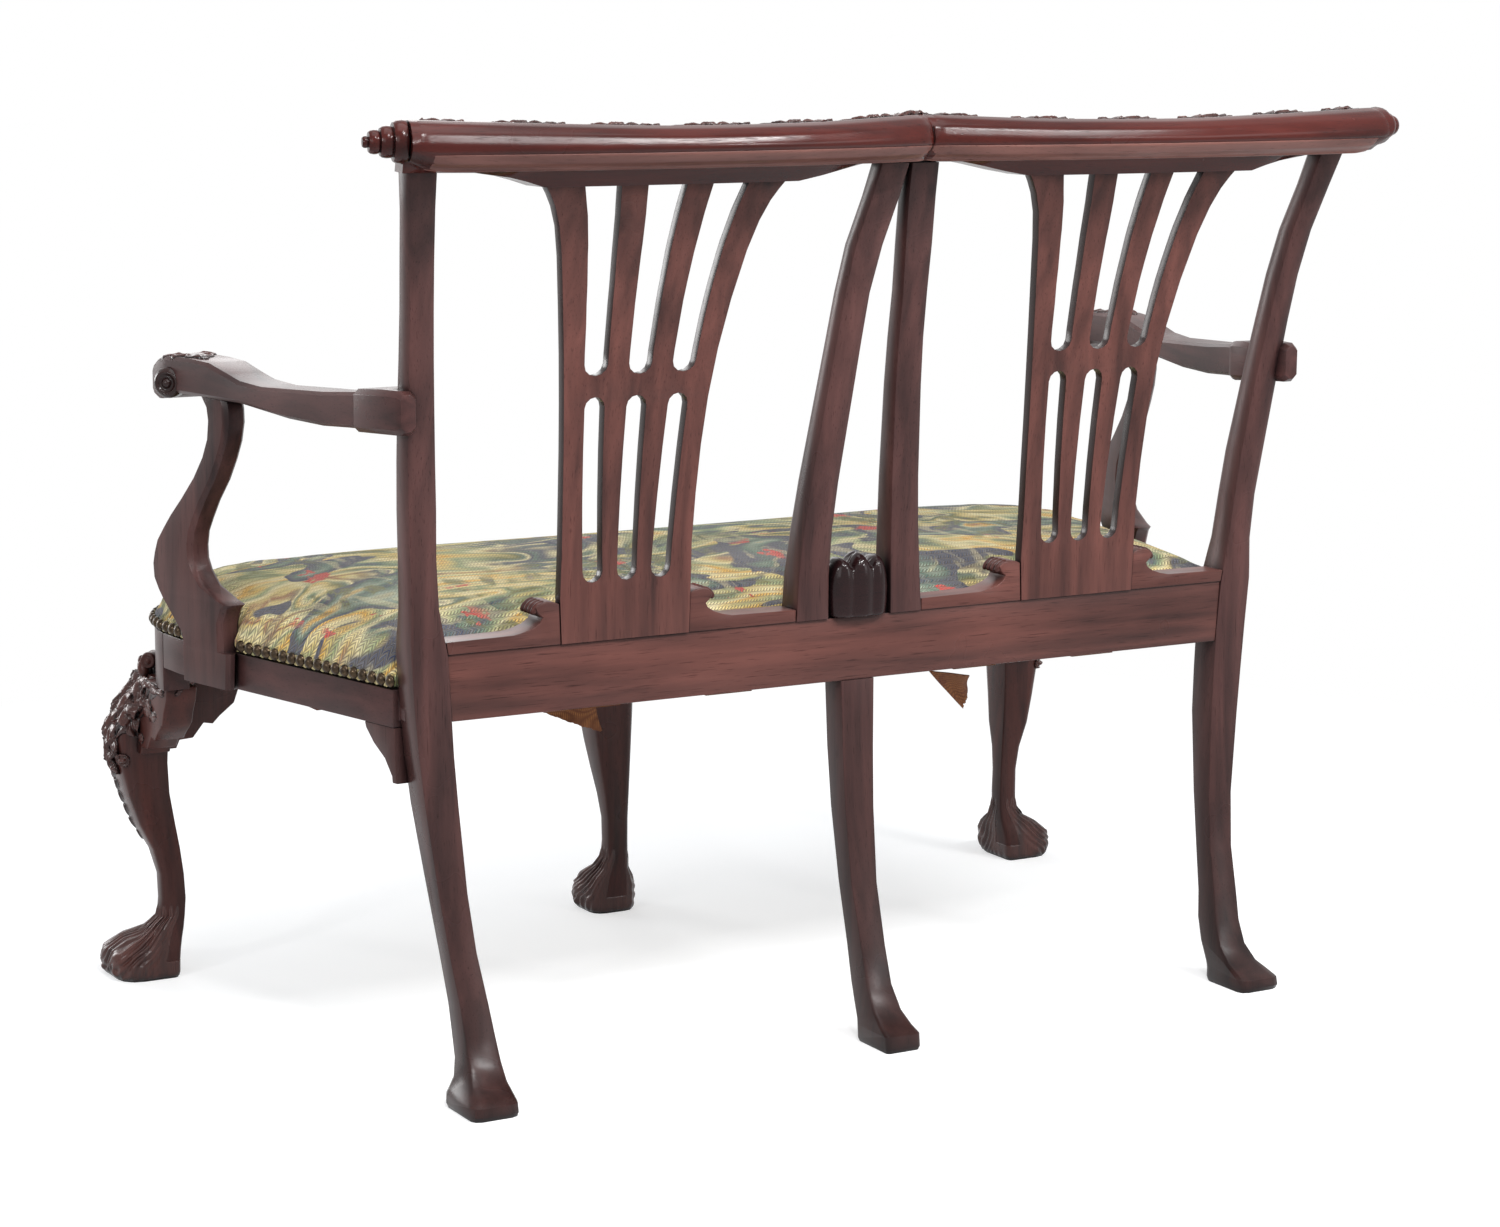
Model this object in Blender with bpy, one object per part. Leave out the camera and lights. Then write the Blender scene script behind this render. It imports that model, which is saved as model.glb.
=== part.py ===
"""Double chair-back settee with paw feet, open arms and a stuffed seat.

Model frame: +X runs along the settee to the sitter's left, +Y points out of its back,
+Z is up, and the floor is z = 0. The tables are written with x = 0 on the middle of the
settee and y = 0 on the rear face of the rear seat rail; centre_on_floor() then moves the
finished settee so that its footprint is centred on the origin. Lengths are metres.
"""

import math

import bmesh
import bpy
from mathutils import Vector

# Fitting gap between two pieces that touch, and the ease of a tenon in its mortise.
FIT_GAP = 0.0003
MORTISE_EASE = 0.0003

# Counts of the facets round the corners of stiles and of legs.
STILE_CORNER_STEPS = 2
LEG_CORNER_STEPS = 3

# End stile and rear leg, one piece from the floor to the crest rail. Each row is
# (z, outer x, inner x, rear y, front y, corner radius).
END_STILE_ROWS = (
    (0.000, 0.5020, 0.4510, 0.1010, 0.0320, 0.0090),
    (0.005, 0.5040, 0.4500, 0.1035, 0.0300, 0.0100),
    (0.014, 0.5035, 0.4500, 0.1025, 0.0295, 0.0110),
    (0.019, 0.5000, 0.4500, 0.0940, 0.0285, 0.0110),
    (0.028, 0.4930, 0.4500, 0.0765, 0.0260, 0.0090),
    (0.045, 0.4875, 0.4500, 0.0600, 0.0200, 0.0060),
    (0.070, 0.4860, 0.4520, 0.0480, 0.0130, 0.0030),
    (0.100, 0.4870, 0.4555, 0.0395, 0.0085, 0.0015),
    (0.150, 0.4905, 0.4605, 0.0228, -0.0045, 0.0010),
    (0.210, 0.4965, 0.4650, 0.0115, -0.0180, 0.0010),
    (0.300, 0.5071, 0.4707, 0.0040, -0.0330, 0.0010),
    (0.350, 0.5123, 0.4740, 0.0017, -0.0362, 0.0010),
    (0.400, 0.5165, 0.4765, 0.0010, -0.0370, 0.0010),
    (0.455, 0.5201, 0.4805, 0.0022, -0.0362, 0.0010),
    (0.470, 0.5206, 0.4830, 0.0026, -0.0352, 0.0030),
    (0.500, 0.5211, 0.4874, 0.0035, -0.0325, 0.0070),
    (0.550, 0.5238, 0.4912, 0.0070, -0.0280, 0.0080),
    (0.600, 0.5280, 0.4940, 0.0137, -0.0205, 0.0080),
    (0.650, 0.5320, 0.4980, 0.0208, -0.0105, 0.0080),
    (0.700, 0.5350, 0.5022, 0.0292, -0.0008, 0.0080),
    (0.750, 0.5375, 0.5068, 0.0388, 0.0092, 0.0080),
    (0.800, 0.5408, 0.5113, 0.0493, 0.0200, 0.0080),
    (0.850, 0.5464, 0.5166, 0.0626, 0.0340, 0.0080),
    (0.900, 0.5544, 0.5238, 0.0805, 0.0538, 0.0070),
    (0.9347, 0.5600, 0.5285, 0.0922, 0.0667, 0.0040),
)

# Inner stile, from the rear rail to the crest rail, in the same columns.
INNER_STILE_ROWS = (
    (0.4534, 0.0776, 0.0387, 0.0030, -0.0305, 0.0010),
    (0.500, 0.0760, 0.0375, 0.0032, -0.0300, 0.0040),
    (0.550, 0.0728, 0.0345, 0.0073, -0.0262, 0.0080),
    (0.600, 0.0683, 0.0312, 0.0131, -0.0189, 0.0080),
    (0.650, 0.0638, 0.0274, 0.0212, -0.0088, 0.0080),
    (0.700, 0.0593, 0.0236, 0.0293, 0.0013, 0.0080),
    (0.750, 0.0552, 0.0208, 0.0387, 0.0117, 0.0080),
    (0.800, 0.0522, 0.0183, 0.0495, 0.0235, 0.0080),
    (0.850, 0.0484, 0.0120, 0.0630, 0.0380, 0.0080),
    (0.900, 0.0402, 0.0040, 0.0804, 0.0564, 0.0070),
    (0.9347, 0.0348, 0.0008, 0.0918, 0.0678, 0.0040),
)

# Middle rear leg, under the rear rail: (z, half width, rear y, front y, corner radius).
REAR_MIDDLE_LEG_ROWS = (
    (0.000, 0.0200, 0.1025, 0.0430, 0.0040),
    (0.004, 0.0214, 0.1045, 0.0410, 0.0050),
    (0.018, 0.0214, 0.1035, 0.0390, 0.0060),
    (0.024, 0.0200, 0.0900, 0.0360, 0.0060),
    (0.036, 0.0175, 0.0720, 0.0280, 0.0050),
    (0.060, 0.0155, 0.0540, 0.0180, 0.0030),
    (0.100, 0.0150, 0.0395, 0.0085, 0.0015),
    (0.165, 0.0158, 0.0195, -0.0085, 0.0010),
    (0.245, 0.0177, 0.0080, -0.0230, 0.0010),
    (0.310, 0.0190, 0.0035, -0.0300, 0.0010),
    (0.3845, 0.0203, 0.0006, -0.0340, 0.0010),
)

# Largest radius of a stile's front corners, against its depth.
STILE_FRONT_CORNER_share = 0.25

# Tenons at the ends of the stiles and legs: half sizes and heights.
STILE_TENON_SETBACK = 0.0080
STILE_TENON_FRONT = 0.0070
STILE_TENON_THICK = 0.0110
STILE_TENON_HEIGHT = 0.0180
STILE_FOOT_TENON_DEPTH = 0.0220
STILE_FOOT_TENON_THICK = 0.0110
STILE_FOOT_TENON_FRONT = 0.0110
LEG_TENON_HALF = 0.0110
LEG_TENON_THICK = 0.0110
LEG_TENON_FRONT = 0.0110
LEG_TENON_HEIGHT = 0.0240

# Rear seat rail, between the end stiles.
REAR_RAIL_Z0 = 0.3848
REAR_RAIL_Z1 = 0.4531
REAR_RAIL_REAR_Y = 0.0000
REAR_RAIL_FRONT_Y = -0.0340
REAR_RAIL_TENON_LENGTH = 0.0200
REAR_RAIL_TENON_Z0 = 0.3960
REAR_RAIL_TENON_Z1 = 0.4420
REAR_RAIL_TENON_REAR_Y = -0.0070
REAR_RAIL_TENON_FRONT_Y = -0.0190

# Side seat rails: (y, outer x) from the end stile toward the corner block.
SIDE_RAIL_ROWS = (
    (-0.0373, 0.5229),
    (-0.1200, 0.5432),
    (-0.2100, 0.5655),
    (-0.2960, 0.5868),
    (-0.3500, 0.5998),
    (-0.4000, 0.6090),
)
SEAT_RAIL_THICKNESS = 0.0240
SEAT_RAIL_Z0 = 0.3763
SEAT_RAIL_Z1 = 0.4151
SIDE_RAIL_TENON_LENGTH = 0.0130
SIDE_RAIL_TENON_INSET = 0.0070
SIDE_RAIL_TENON_Z0 = 0.3840
SIDE_RAIL_TENON_Z1 = 0.4075

# Front seat rail, between the corner blocks, and the outer face of the seat's sides there.
FRONT_RAIL_OUTER_Y = -0.5750
FRONT_RAIL_TENON_LENGTH = 0.0200
FRONT_RAIL_TENON_INSET = 0.0070
FRONT_OUTER_X = 0.6120

# Rounded front corner blocks, into which the rails and the legs are tenoned.
CORNER_RADIUS = 0.1310
CORNER_THICKNESS = 0.0300
CORNER_BLOCK_Z0 = 0.3500
CORNER_BLOCK_STRAIGHT = 0.0210
CORNER_CENTRE_X = FRONT_OUTER_X - CORNER_RADIUS
CORNER_CENTRE_Y = FRONT_RAIL_OUTER_Y + CORNER_RADIUS
CORNER_BLOCK_END_X = CORNER_CENTRE_X - CORNER_BLOCK_STRAIGHT
CORNER_ARC_STEPS = 10

# Front corner legs, about the outermost point of the rounded corner in plan. Rows are
# (z, outer x, inner x, rear y, front y, corner radius).
FRONT_LEG_ROWS = (
    (0.000, 0.0584, -0.0066, 0.0036, -0.0724, 0.0240),
    (0.006, 0.0614, -0.0086, 0.0046, -0.0784, 0.0260),
    (0.018, 0.0624, -0.0096, 0.0041, -0.0799, 0.0270),
    (0.032, 0.0584, -0.0111, 0.0026, -0.0764, 0.0250),
    (0.044, 0.0434, -0.0136, -0.0004, -0.0634, 0.0210),
    (0.056, 0.0204, -0.0161, -0.0029, -0.0404, 0.0130),
    (0.070, 0.0094, -0.0176, -0.0034, -0.0304, 0.0090),
    (0.090, 0.0079, -0.0186, -0.0024, -0.0289, 0.0080),
    (0.118, 0.0086, -0.0174, -0.0036, -0.0296, 0.0080),
    (0.147, 0.0154, -0.0146, -0.0064, -0.0364, 0.0080),
    (0.177, 0.0294, -0.0106, -0.0104, -0.0504, 0.0080),
    (0.210, 0.0394, -0.0066, -0.0144, -0.0604, 0.0090),
    (0.245, 0.0469, -0.0056, -0.0154, -0.0679, 0.0110),
    (0.268, 0.0489, -0.0066, -0.0144, -0.0699, 0.0130),
    (0.290, 0.0469, -0.0096, -0.0114, -0.0679, 0.0140),
    (0.312, 0.0384, -0.0156, -0.0054, -0.0594, 0.0140),
    (0.332, 0.0284, -0.0256, 0.0046, -0.0494, 0.0130),
    (0.3497, 0.0189, -0.0381, 0.0171, -0.0399, 0.0120),
)
# Radius of a front leg's inner rear corner, against its other corners.
LEG_REAR_CORNER_share = 0.25
CORNER_TENON_DEPTH = 0.0136
CORNER_TENON_HALF = 0.0065
CORNER_TENON_HEIGHT = 0.0300

# Middle front leg, under the front rail: (z, half width, rear y, front y, corner radius).
FRONT_MIDDLE_LEG_ROWS = (
    (0.000, 0.0280, -0.5490, -0.6080, 0.0150),
    (0.006, 0.0305, -0.5480, -0.6130, 0.0170),
    (0.018, 0.0312, -0.5475, -0.6140, 0.0180),
    (0.032, 0.0295, -0.5460, -0.6100, 0.0170),
    (0.044, 0.0245, -0.5440, -0.6000, 0.0140),
    (0.056, 0.0165, -0.5410, -0.5800, 0.0100),
    (0.070, 0.0138, -0.5385, -0.5690, 0.0080),
    (0.090, 0.0130, -0.5375, -0.5670, 0.0080),
    (0.118, 0.0134, -0.5380, -0.5680, 0.0080),
    (0.147, 0.0160, -0.5400, -0.5750, 0.0080),
    (0.177, 0.0195, -0.5430, -0.5860, 0.0090),
    (0.210, 0.0230, -0.5460, -0.5970, 0.0100),
    (0.245, 0.0265, -0.5480, -0.6060, 0.0120),
    (0.275, 0.0285, -0.5485, -0.6105, 0.0140),
    (0.305, 0.0290, -0.5480, -0.6080, 0.0140),
    (0.335, 0.0290, -0.5470, -0.5990, 0.0130),
    (0.360, 0.0290, -0.5465, -0.5860, 0.0110),
    (0.3760, 0.0290, -0.5465, -0.5775, 0.0080),
)
FRONT_MIDDLE_TENON_HALF_X = 0.0150
FRONT_MIDDLE_TENON_HALF_Y = 0.0050
FRONT_MIDDLE_TENON_HEIGHT = 0.0220

# Knee brackets: stepped lower edge, (distance from the leg's inner face at the knee, z).
KNEE_INSET_X = 0.0066
KNEE_INSET_Y = 0.0144
KNEE_BRACKET_EDGE = (
    (0.0965, 0.3497),
    (0.0940, 0.3360),
    (0.0850, 0.3200),
    (0.0800, 0.3060),
    (0.0620, 0.2920),
    (0.0540, 0.2840),
    (0.0430, 0.2860),
    (0.0300, 0.2700),
    (0.0140, 0.2690),
    (0.0100, 0.2600),
)
BRACKET_LEG_Z0 = 0.2600
BRACKET_PROUD = 0.0135
BRACKET_DEPTH = 0.0350
BRACKET_SIDE_PROUD = -0.0075

# Brackets of the middle front leg: (distance from the middle, z) and their depth in y.
MIDDLE_BRACKET_EDGE = (
    (0.1260, 0.3760),
    (0.1230, 0.3620),
    (0.1140, 0.3480),
    (0.1080, 0.3340),
    (0.0900, 0.3200),
    (0.0820, 0.3110),
    (0.0700, 0.3130),
    (0.0580, 0.2960),
    (0.0400, 0.2950),
    (0.0360, 0.2860),
)
MIDDLE_BRACKET_LEG_Z0 = 0.2860
MIDDLE_BRACKET_PROUD = 0.0080
MIDDLE_BRACKET_DEPTH = 0.0310

# Small brackets between a side rail and the rear leg: (distance before the leg, z).
REAR_BRACKET_EDGE = (
    (0.0470, 0.3760),
    (0.0450, 0.3700),
    (0.0330, 0.3560),
    (0.0150, 0.3420),
    (0.0050, 0.3270),
    (0.0040, 0.3190),
)
REAR_BRACKET_LEG_Z0 = 0.3190
REAR_BRACKET_THICKNESS = 0.0200
REAR_BRACKET_SETBACK = 0.0010

# Splats, both about the middle of their chair back. Half width against height.
SPLAT_MIDDLE_X = 0.2807
SPLAT_THICKNESS = 0.0115
SPLAT_HALF_ROWS = (
    (0.4534, 0.0735),
    (0.500, 0.0753),
    (0.550, 0.0748),
    (0.600, 0.0763),
    (0.650, 0.0785),
    (0.700, 0.0821),
    (0.750, 0.0875),
    (0.800, 0.0949),
    (0.850, 0.1040),
    (0.880, 0.1118),
    (0.900, 0.1202),
    (0.912, 0.1276),
    (0.9192, 0.1329),
)
SPLAT_REAR_ROWS = (
    (0.4200, 0.0030),
    (0.5000, 0.0030),
    (0.5500, 0.0060),
    (0.6000, 0.0110),
    (0.6500, 0.0175),
    (0.7000, 0.0255),
    (0.7500, 0.0360),
    (0.8000, 0.0490),
    (0.8500, 0.0645),
    (0.9000, 0.0825),
    (0.9192, 0.0900),
)
SPLAT_TOP_Z = 0.9192
SPLAT_BASE_Z = 0.4534
# Lower slots: offsets of their middles at the bottom and the top, and their width.
LOWER_SLOT_Z0 = 0.5143
LOWER_SLOT_Z1 = 0.7055
LOWER_SLOT_FOOT_OFFSET = 0.0393
LOWER_SLOT_HEAD_OFFSET = 0.0473
LOWER_SLOT_WIDTH = 0.0225
SLOT_END_STEPS = 6
# Upper openings, open to the crest rail: (z, offset of the side openings, their width,
# width of the middle opening).
UPPER_OPENING_ROWS = (
    (0.7385, 0.0500, 0.0262, 0.0258),
    (0.780, 0.0525, 0.0280, 0.0280),
    (0.820, 0.0560, 0.0300, 0.0303),
    (0.860, 0.0605, 0.0325, 0.0333),
    (0.890, 0.0650, 0.0355, 0.0372),
    (0.9192, 0.0712, 0.0400, 0.0435),
)
UPPER_OPENING_Z0 = 0.7275
SPLAT_TENON_THICKNESS = 0.0080
SPLAT_TENON_HEIGHT = 0.0150
SPLAT_TENON_SETBACK = 0.0060
SPLAT_FOOT_TENON_DEPTH = 0.0200
SPLAT_FOOT_TENON_THICK = 0.0058
SPLAT_FOOT_TENON_COVER = 0.0022

# Crest rail. Its ends are cut at an angle in plan (degrees), reaching END_X at the apron's
# front. Then bow of its plan and change of its height along x, and the apron's lower edge.
CREST_END_X = 0.5575
CREST_END_ANGLE = 14.0
CREST_TURN_X = 0.4500
CREST_RISE_LENGTH = 0.0240
CREST_RISE_HEIGHT = 0.0095
CREST_RISE_Z1 = 0.9680
CREST_BOW_ROWS = (
    (0.0000, -0.0140),
    (0.0200, -0.0095),
    (0.0600, 0.0000),
    (0.1200, 0.0095),
    (0.2000, 0.0180),
    (0.2800, 0.0210),
    (0.3600, 0.0205),
    (0.4400, 0.0160),
    (0.5000, 0.0100),
    (0.5650, 0.0000),
)
CREST_LIFT_ROWS = (
    (0.0000, -0.0030),
    (0.0600, -0.0055),
    (0.1500, -0.0085),
    (0.2800, -0.0095),
    (0.4200, -0.0065),
    (0.5650, -0.0010),
)
CREST_APRON_ROWS = (
    (0.0000, 0.9350),
    (0.0600, 0.9350),
    (0.0850, 0.9300),
    (0.1100, 0.9245),
    (0.1380, 0.9195),
    (0.4240, 0.9195),
    (0.4420, 0.9250),
    (0.4650, 0.9310),
    (0.4950, 0.9350),
    (0.5650, 0.9350),
)
CREST_APRON_REAR_Y = 0.0940
CREST_APRON_FRONT_Y = 0.0555
CREST_RAKE_share = 0.40
CREST_REFERENCE_Z = 0.9350
# Section above the apron at the rail's ends, up the front, over the roll, down the back.
CREST_SECTION = (
    (0.0640, 0.9520),
    (0.0735, 0.9680),
    (0.0860, 0.9800),
    (0.1020, 0.9855),
    (0.1255, 0.9870),
    (0.1370, 0.9838),
    (0.1455, 0.9760),
    (0.1490, 0.9640),
    (0.1470, 0.9545),
    (0.1400, 0.9455),
    (0.1345, 0.9420),
    (0.1310, 0.9385),
    (0.1220, 0.9375),
    (0.1000, 0.9375),
)
CREST_STATION_STEP = 0.0330
CREST_STATION_CLEAR = 0.0066

# Turned ears square to the crest rail's ends: (distance from the end, radius).
EAR_AXIS_Y = 0.1214
EAR_AXIS_Z = 0.9655
EAR_PROFILE = (
    (0.0000, 0.0180),
    (0.0012, 0.0200),
    (0.0045, 0.0207),
    (0.0105, 0.0200),
    (0.0135, 0.0182),
    (0.0137, 0.0140),
    (0.0160, 0.0150),
    (0.0195, 0.0152),
    (0.0235, 0.0145),
    (0.0255, 0.0130),
    (0.0257, 0.0098),
    (0.0280, 0.0112),
    (0.0310, 0.0115),
    (0.0345, 0.0108),
    (0.0362, 0.0094),
    (0.0364, 0.0050),
    (0.0385, 0.0056),
    (0.0405, 0.0054),
    (0.0420, 0.0042),
)
EAR_DOWEL_RADIUS = 0.0060
EAR_DOWEL_LENGTH = 0.0120
EAR_TURN_STEPS = 24

# Arms: (y, outer x, inner x, top z, underside z) from the scroll to the rear block.
ARM_ROWS = (
    (-0.4275, 0.6225, 0.5680, 0.7000, 0.6870),
    (-0.4240, 0.6240, 0.5665, 0.7065, 0.6810),
    (-0.4170, 0.6250, 0.5655, 0.7125, 0.6765),
    (-0.4090, 0.6255, 0.5650, 0.7165, 0.6748),
    (-0.4000, 0.6255, 0.5650, 0.7190, 0.6755),
    (-0.3920, 0.6250, 0.5655, 0.7205, 0.6790),
    (-0.3850, 0.6240, 0.5660, 0.7215, 0.6830),
    (-0.3760, 0.6220, 0.5670, 0.7220, 0.6842),
    (-0.3450, 0.6160, 0.5650, 0.7225, 0.6845),
    (-0.3080, 0.6090, 0.5610, 0.7210, 0.6845),
    (-0.2750, 0.6025, 0.5565, 0.7130, 0.6845),
    (-0.2500, 0.5985, 0.5525, 0.7075, 0.6847),
    (-0.2100, 0.5912, 0.5455, 0.7050, 0.6815),
    (-0.1590, 0.5820, 0.5360, 0.7075, 0.6775),
    (-0.0980, 0.5710, 0.5260, 0.7105, 0.6765),
    (-0.0550, 0.5630, 0.5190, 0.7145, 0.6790),
    (-0.0300, 0.5580, 0.5145, 0.7165, 0.6800),
    (0.0030, 0.5525, 0.5140, 0.7183, 0.6824),
    (0.0045, 0.5522, 0.5310, 0.7184, 0.6825),
    (0.0180, 0.5495, 0.5310, 0.7188, 0.6830),
    (0.0330, 0.5460, 0.5320, 0.7190, 0.6836),
    (0.0375, 0.5440, 0.5335, 0.7170, 0.6860),
)
ARM_EDGE = 0.0035
EDGE_share = 0.30
ARM_NOTCH_Z0 = 0.6600
ARM_NOTCH_Z1 = 0.7400

# Arm supports: (z, front y, rear y, thickness inward from the outer face), first the foot
# that laps over the rail and then the body above the rail.
SUPPORT_LAP_ROWS = (
    (0.3770, -0.3690, -0.2897, 0.0115),
    (0.4152, -0.3700, -0.2877, 0.0115),
)
SUPPORT_ROWS = (
    (0.4154, -0.3700, -0.3014, 0.0250),
    (0.4280, -0.3720, -0.3019, 0.0250),
    (0.4460, -0.3900, -0.3024, 0.0250),
    (0.4620, -0.4060, -0.2954, 0.0250),
    (0.4670, -0.4100, -0.2894, 0.0250),
    (0.4700, -0.4125, -0.3014, 0.0250),
    (0.4820, -0.4200, -0.3314, 0.0250),
    (0.4970, -0.4215, -0.3454, 0.0250),
    (0.5090, -0.4185, -0.3514, 0.0250),
    (0.5230, -0.4130, -0.3522, 0.0250),
    (0.5380, -0.4010, -0.3494, 0.0250),
    (0.5530, -0.3880, -0.3414, 0.0250),
    (0.5730, -0.3680, -0.3294, 0.0250),
    (0.5970, -0.3460, -0.3114, 0.0250),
    (0.6200, -0.3300, -0.2984, 0.0250),
    (0.6400, -0.3210, -0.2894, 0.0250),
    (0.6600, -0.3185, -0.2849, 0.0250),
    (0.6740, -0.3210, -0.2854, 0.0250),
    (0.6842, -0.3290, -0.2884, 0.0250),
)
SUPPORT_FACE_X = 0.6190
SUPPORT_FACE_Y = -0.3700
SUPPORT_SPLAY_share = 0.245
SUPPORT_EDGE = 0.0045
SUPPORT_TENON_HEIGHT = 0.0140
SUPPORT_TENON_Y0 = -0.3210
SUPPORT_TENON_Y1 = -0.2970
SUPPORT_TENON_OUTER = 0.0070
SUPPORT_TENON_INNER = 0.0180

# Shoe pieces between the stiles and the splats: upper edge as (distance from the splat, z).
SHOE_EDGE = (
    (0.0003, 0.4950),
    (0.0080, 0.4975),
    (0.0160, 0.4985),
    (0.0240, 0.4965),
    (0.0285, 0.4925),
    (0.0260, 0.4870),
    (0.0205, 0.4820),
    (0.0230, 0.4775),
    (0.0300, 0.4730),
    (0.0400, 0.4695),
    (0.0520, 0.4670),
)
SHOE_LOW_Z = 0.4660
SHOE_REAR_Y = 0.0022
SHOE_FRONT_Y = -0.0290

# Carved block between the inner stiles: lobed upper edge as (x, z), and its back.
BLOCK_EDGE = (
    (0.0364, 0.5130),
    (0.0300, 0.5160),
    (0.0240, 0.5110),
    (0.0200, 0.5060),
    (0.0140, 0.5130),
    (0.0070, 0.5200),
    (0.0000, 0.5215),
)
BLOCK_ROWS = (
    (0.4534, -0.0010),
    (0.4600, 0.0005),
    (0.4680, 0.0035),
    (0.4780, 0.0100),
    (0.4880, 0.0145),
    (0.4980, 0.0130),
)
BLOCK_TOP_REAR_Y = 0.0060
BLOCK_FRONT_Y = -0.0290

# Stuffed seat: rings of its rounded edge as (inset from the rails' outline, z), then the
# crown as (share of the way to the middle, z).
SEAT_REAR_Y = -0.0382
SEAT_EDGE_ROWS = (
    (0.0000, 0.4155),
    (0.0000, 0.4240),
    (0.0004, 0.4360),
    (0.0030, 0.4480),
    (0.0110, 0.4580),
    (0.0220, 0.4650),
)
SEAT_CROWN_shares = (0.08, 0.20, 0.36, 0.55, 0.76)
SEAT_CROWN_ZS = (0.4690, 0.4745, 0.4800, 0.4840, 0.4860)
SEAT_PLUG_INSET = 0.0340
SEAT_PLUG_Z0 = 0.3860
SEAT_MIDDLE_Y = -0.3050
SEAT_POCKET_EASE = 0.0008
SEAT_POCKET_REACH = 0.0300
SEAT_POCKET_Z1 = 0.5200

# Webbing under the rails, and its two loose tails behind the rear rail.
STRAP_WIDTH = 0.0550
STRAP_THICKNESS = 0.0016
STRAP_LONG_XS = (-0.3100, -0.1540, 0.1540, 0.3100)
STRAP_REAR_Z = 0.3845
STRAP_FRONT_Z = 0.3760
STRAP_REAR_Y = -0.0060
STRAP_FRONT_Y = -0.5690
STRAP_CROSS_YS = (-0.1900, -0.3800)
STRAP_CROSS_HALVES = (0.5520, 0.5950)
TAIL_LEFT = ((0.3360, -0.0200, 0.3822), (0.3060, -0.0560, 0.3700), (0.2760, -0.0760, 0.3440))
TAIL_RIGHT = ((-0.1260, -0.0200, 0.3822), (-0.1540, -0.0600, 0.3660), (-0.1800, -0.0740, 0.3270))
TAIL_WIDTH = 0.0480
TAIL_LEAN = 0.0080

# Colours of the materials: (base colour, roughness, metallic).
MAHOGANY = ((0.115, 0.048, 0.034, 1.0), 0.30, 0.0)
NEEDLEWORK = ((0.420, 0.370, 0.200, 1.0), 0.90, 0.0)
WEBBING = ((0.420, 0.230, 0.080, 1.0), 0.85, 0.0)


def clear_scene():
    """Remove every object, so that the build starts from nothing."""
    for old in list(bpy.data.objects):
        bpy.data.objects.remove(old, do_unlink=True)


def new_material(name, look):
    """One Principled material in the given colour, roughness and metallic value."""
    colour, roughness, metallic = look
    material = bpy.data.materials.new(name)
    material.use_nodes = True
    shader = material.node_tree.nodes["Principled BSDF"]
    shader.inputs["Base Color"].default_value = colour
    shader.inputs["Roughness"].default_value = roughness
    shader.inputs["Metallic"].default_value = metallic
    material.diffuse_color = colour
    return material


def finish_mesh(name, shape, look):
    """Turn a bmesh into a named object with its own material and outward faces."""
    bmesh.ops.recalc_face_normals(shape, faces=shape.faces)
    mesh = bpy.data.meshes.new(name)
    shape.to_mesh(mesh)
    shape.free()
    thing = bpy.data.objects.new(name, mesh)
    bpy.context.scene.collection.objects.link(thing)
    thing.data.materials.append(new_material(name + "_look", look))
    return thing


def loft(name, rings, look):
    """Extrude a face through the rings, one after another, into a closed solid."""
    shape = bmesh.new()
    corners = [shape.verts.new(point) for point in rings[0]]
    face = shape.faces.new(corners)
    for index, ring in enumerate(rings[1:]):
        made = bmesh.ops.extrude_face_region(shape, geom=[face], use_keep_orig=True)
        if index > 0:
            bmesh.ops.delete(shape, geom=[face], context="FACES_ONLY")
        face = [item for item in made["geom"] if isinstance(item, bmesh.types.BMFace)][0]
        for vert, point in zip(face.verts, ring):
            vert.co = point
    return finish_mesh(name, shape, look)


def prism(name, outline, offset, look):
    """Extrude a flat outline of 3-D points by the offset vector."""
    shift = Vector(offset)
    top = [tuple(Vector(point) + shift) for point in outline]
    return loft(name, [outline, top], look)


def mirrored(side, points):
    """Points with their x multiplied by side, +1 for the left and -1 for the right."""
    return [(side * x, y, z) for x, y, z in points]


def side_name(side):
    """left for +X, right for -X."""
    return "left" if side > 0 else "right"


def curve_at(rows, key, column):
    """Value of one column of a table at a key, by smooth cubic steps between its rows."""
    last = len(rows) - 1
    if key <= rows[0][0]:
        return rows[0][column]
    if key >= rows[last][0]:
        return rows[last][column]
    index = max(i for i in range(last) if rows[i][0] <= key)
    span = rows[index + 1][0] - rows[index][0]
    t = (key - rows[index][0]) / span
    start = rows[index][column]
    end = rows[index + 1][column]
    slope_a = slope_between(rows, index, column) * span
    slope_b = slope_between(rows, index + 1, column) * span
    cubic = (2 * t**3 - 3 * t**2 + 1) * start + (t**3 - 2 * t**2 + t) * slope_a
    return cubic + (3 * t**2 - 2 * t**3) * end + (t**3 - t**2) * slope_b


def slope_between(rows, index, column):
    """Slope of a table's column at one row, held level where the column turns back."""
    if index == 0 or index == len(rows) - 1:
        near = max(index, 1)
        return (rows[near][column] - rows[near - 1][column]) / (rows[near][0] - rows[near - 1][0])
    before = (rows[index][column] - rows[index - 1][column]) / (rows[index][0] - rows[index - 1][0])
    after = (rows[index + 1][column] - rows[index][column]) / (rows[index + 1][0] - rows[index][0])
    if before * after <= 0:
        return 0.0
    return 2 * before * after / (before + after)


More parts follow.
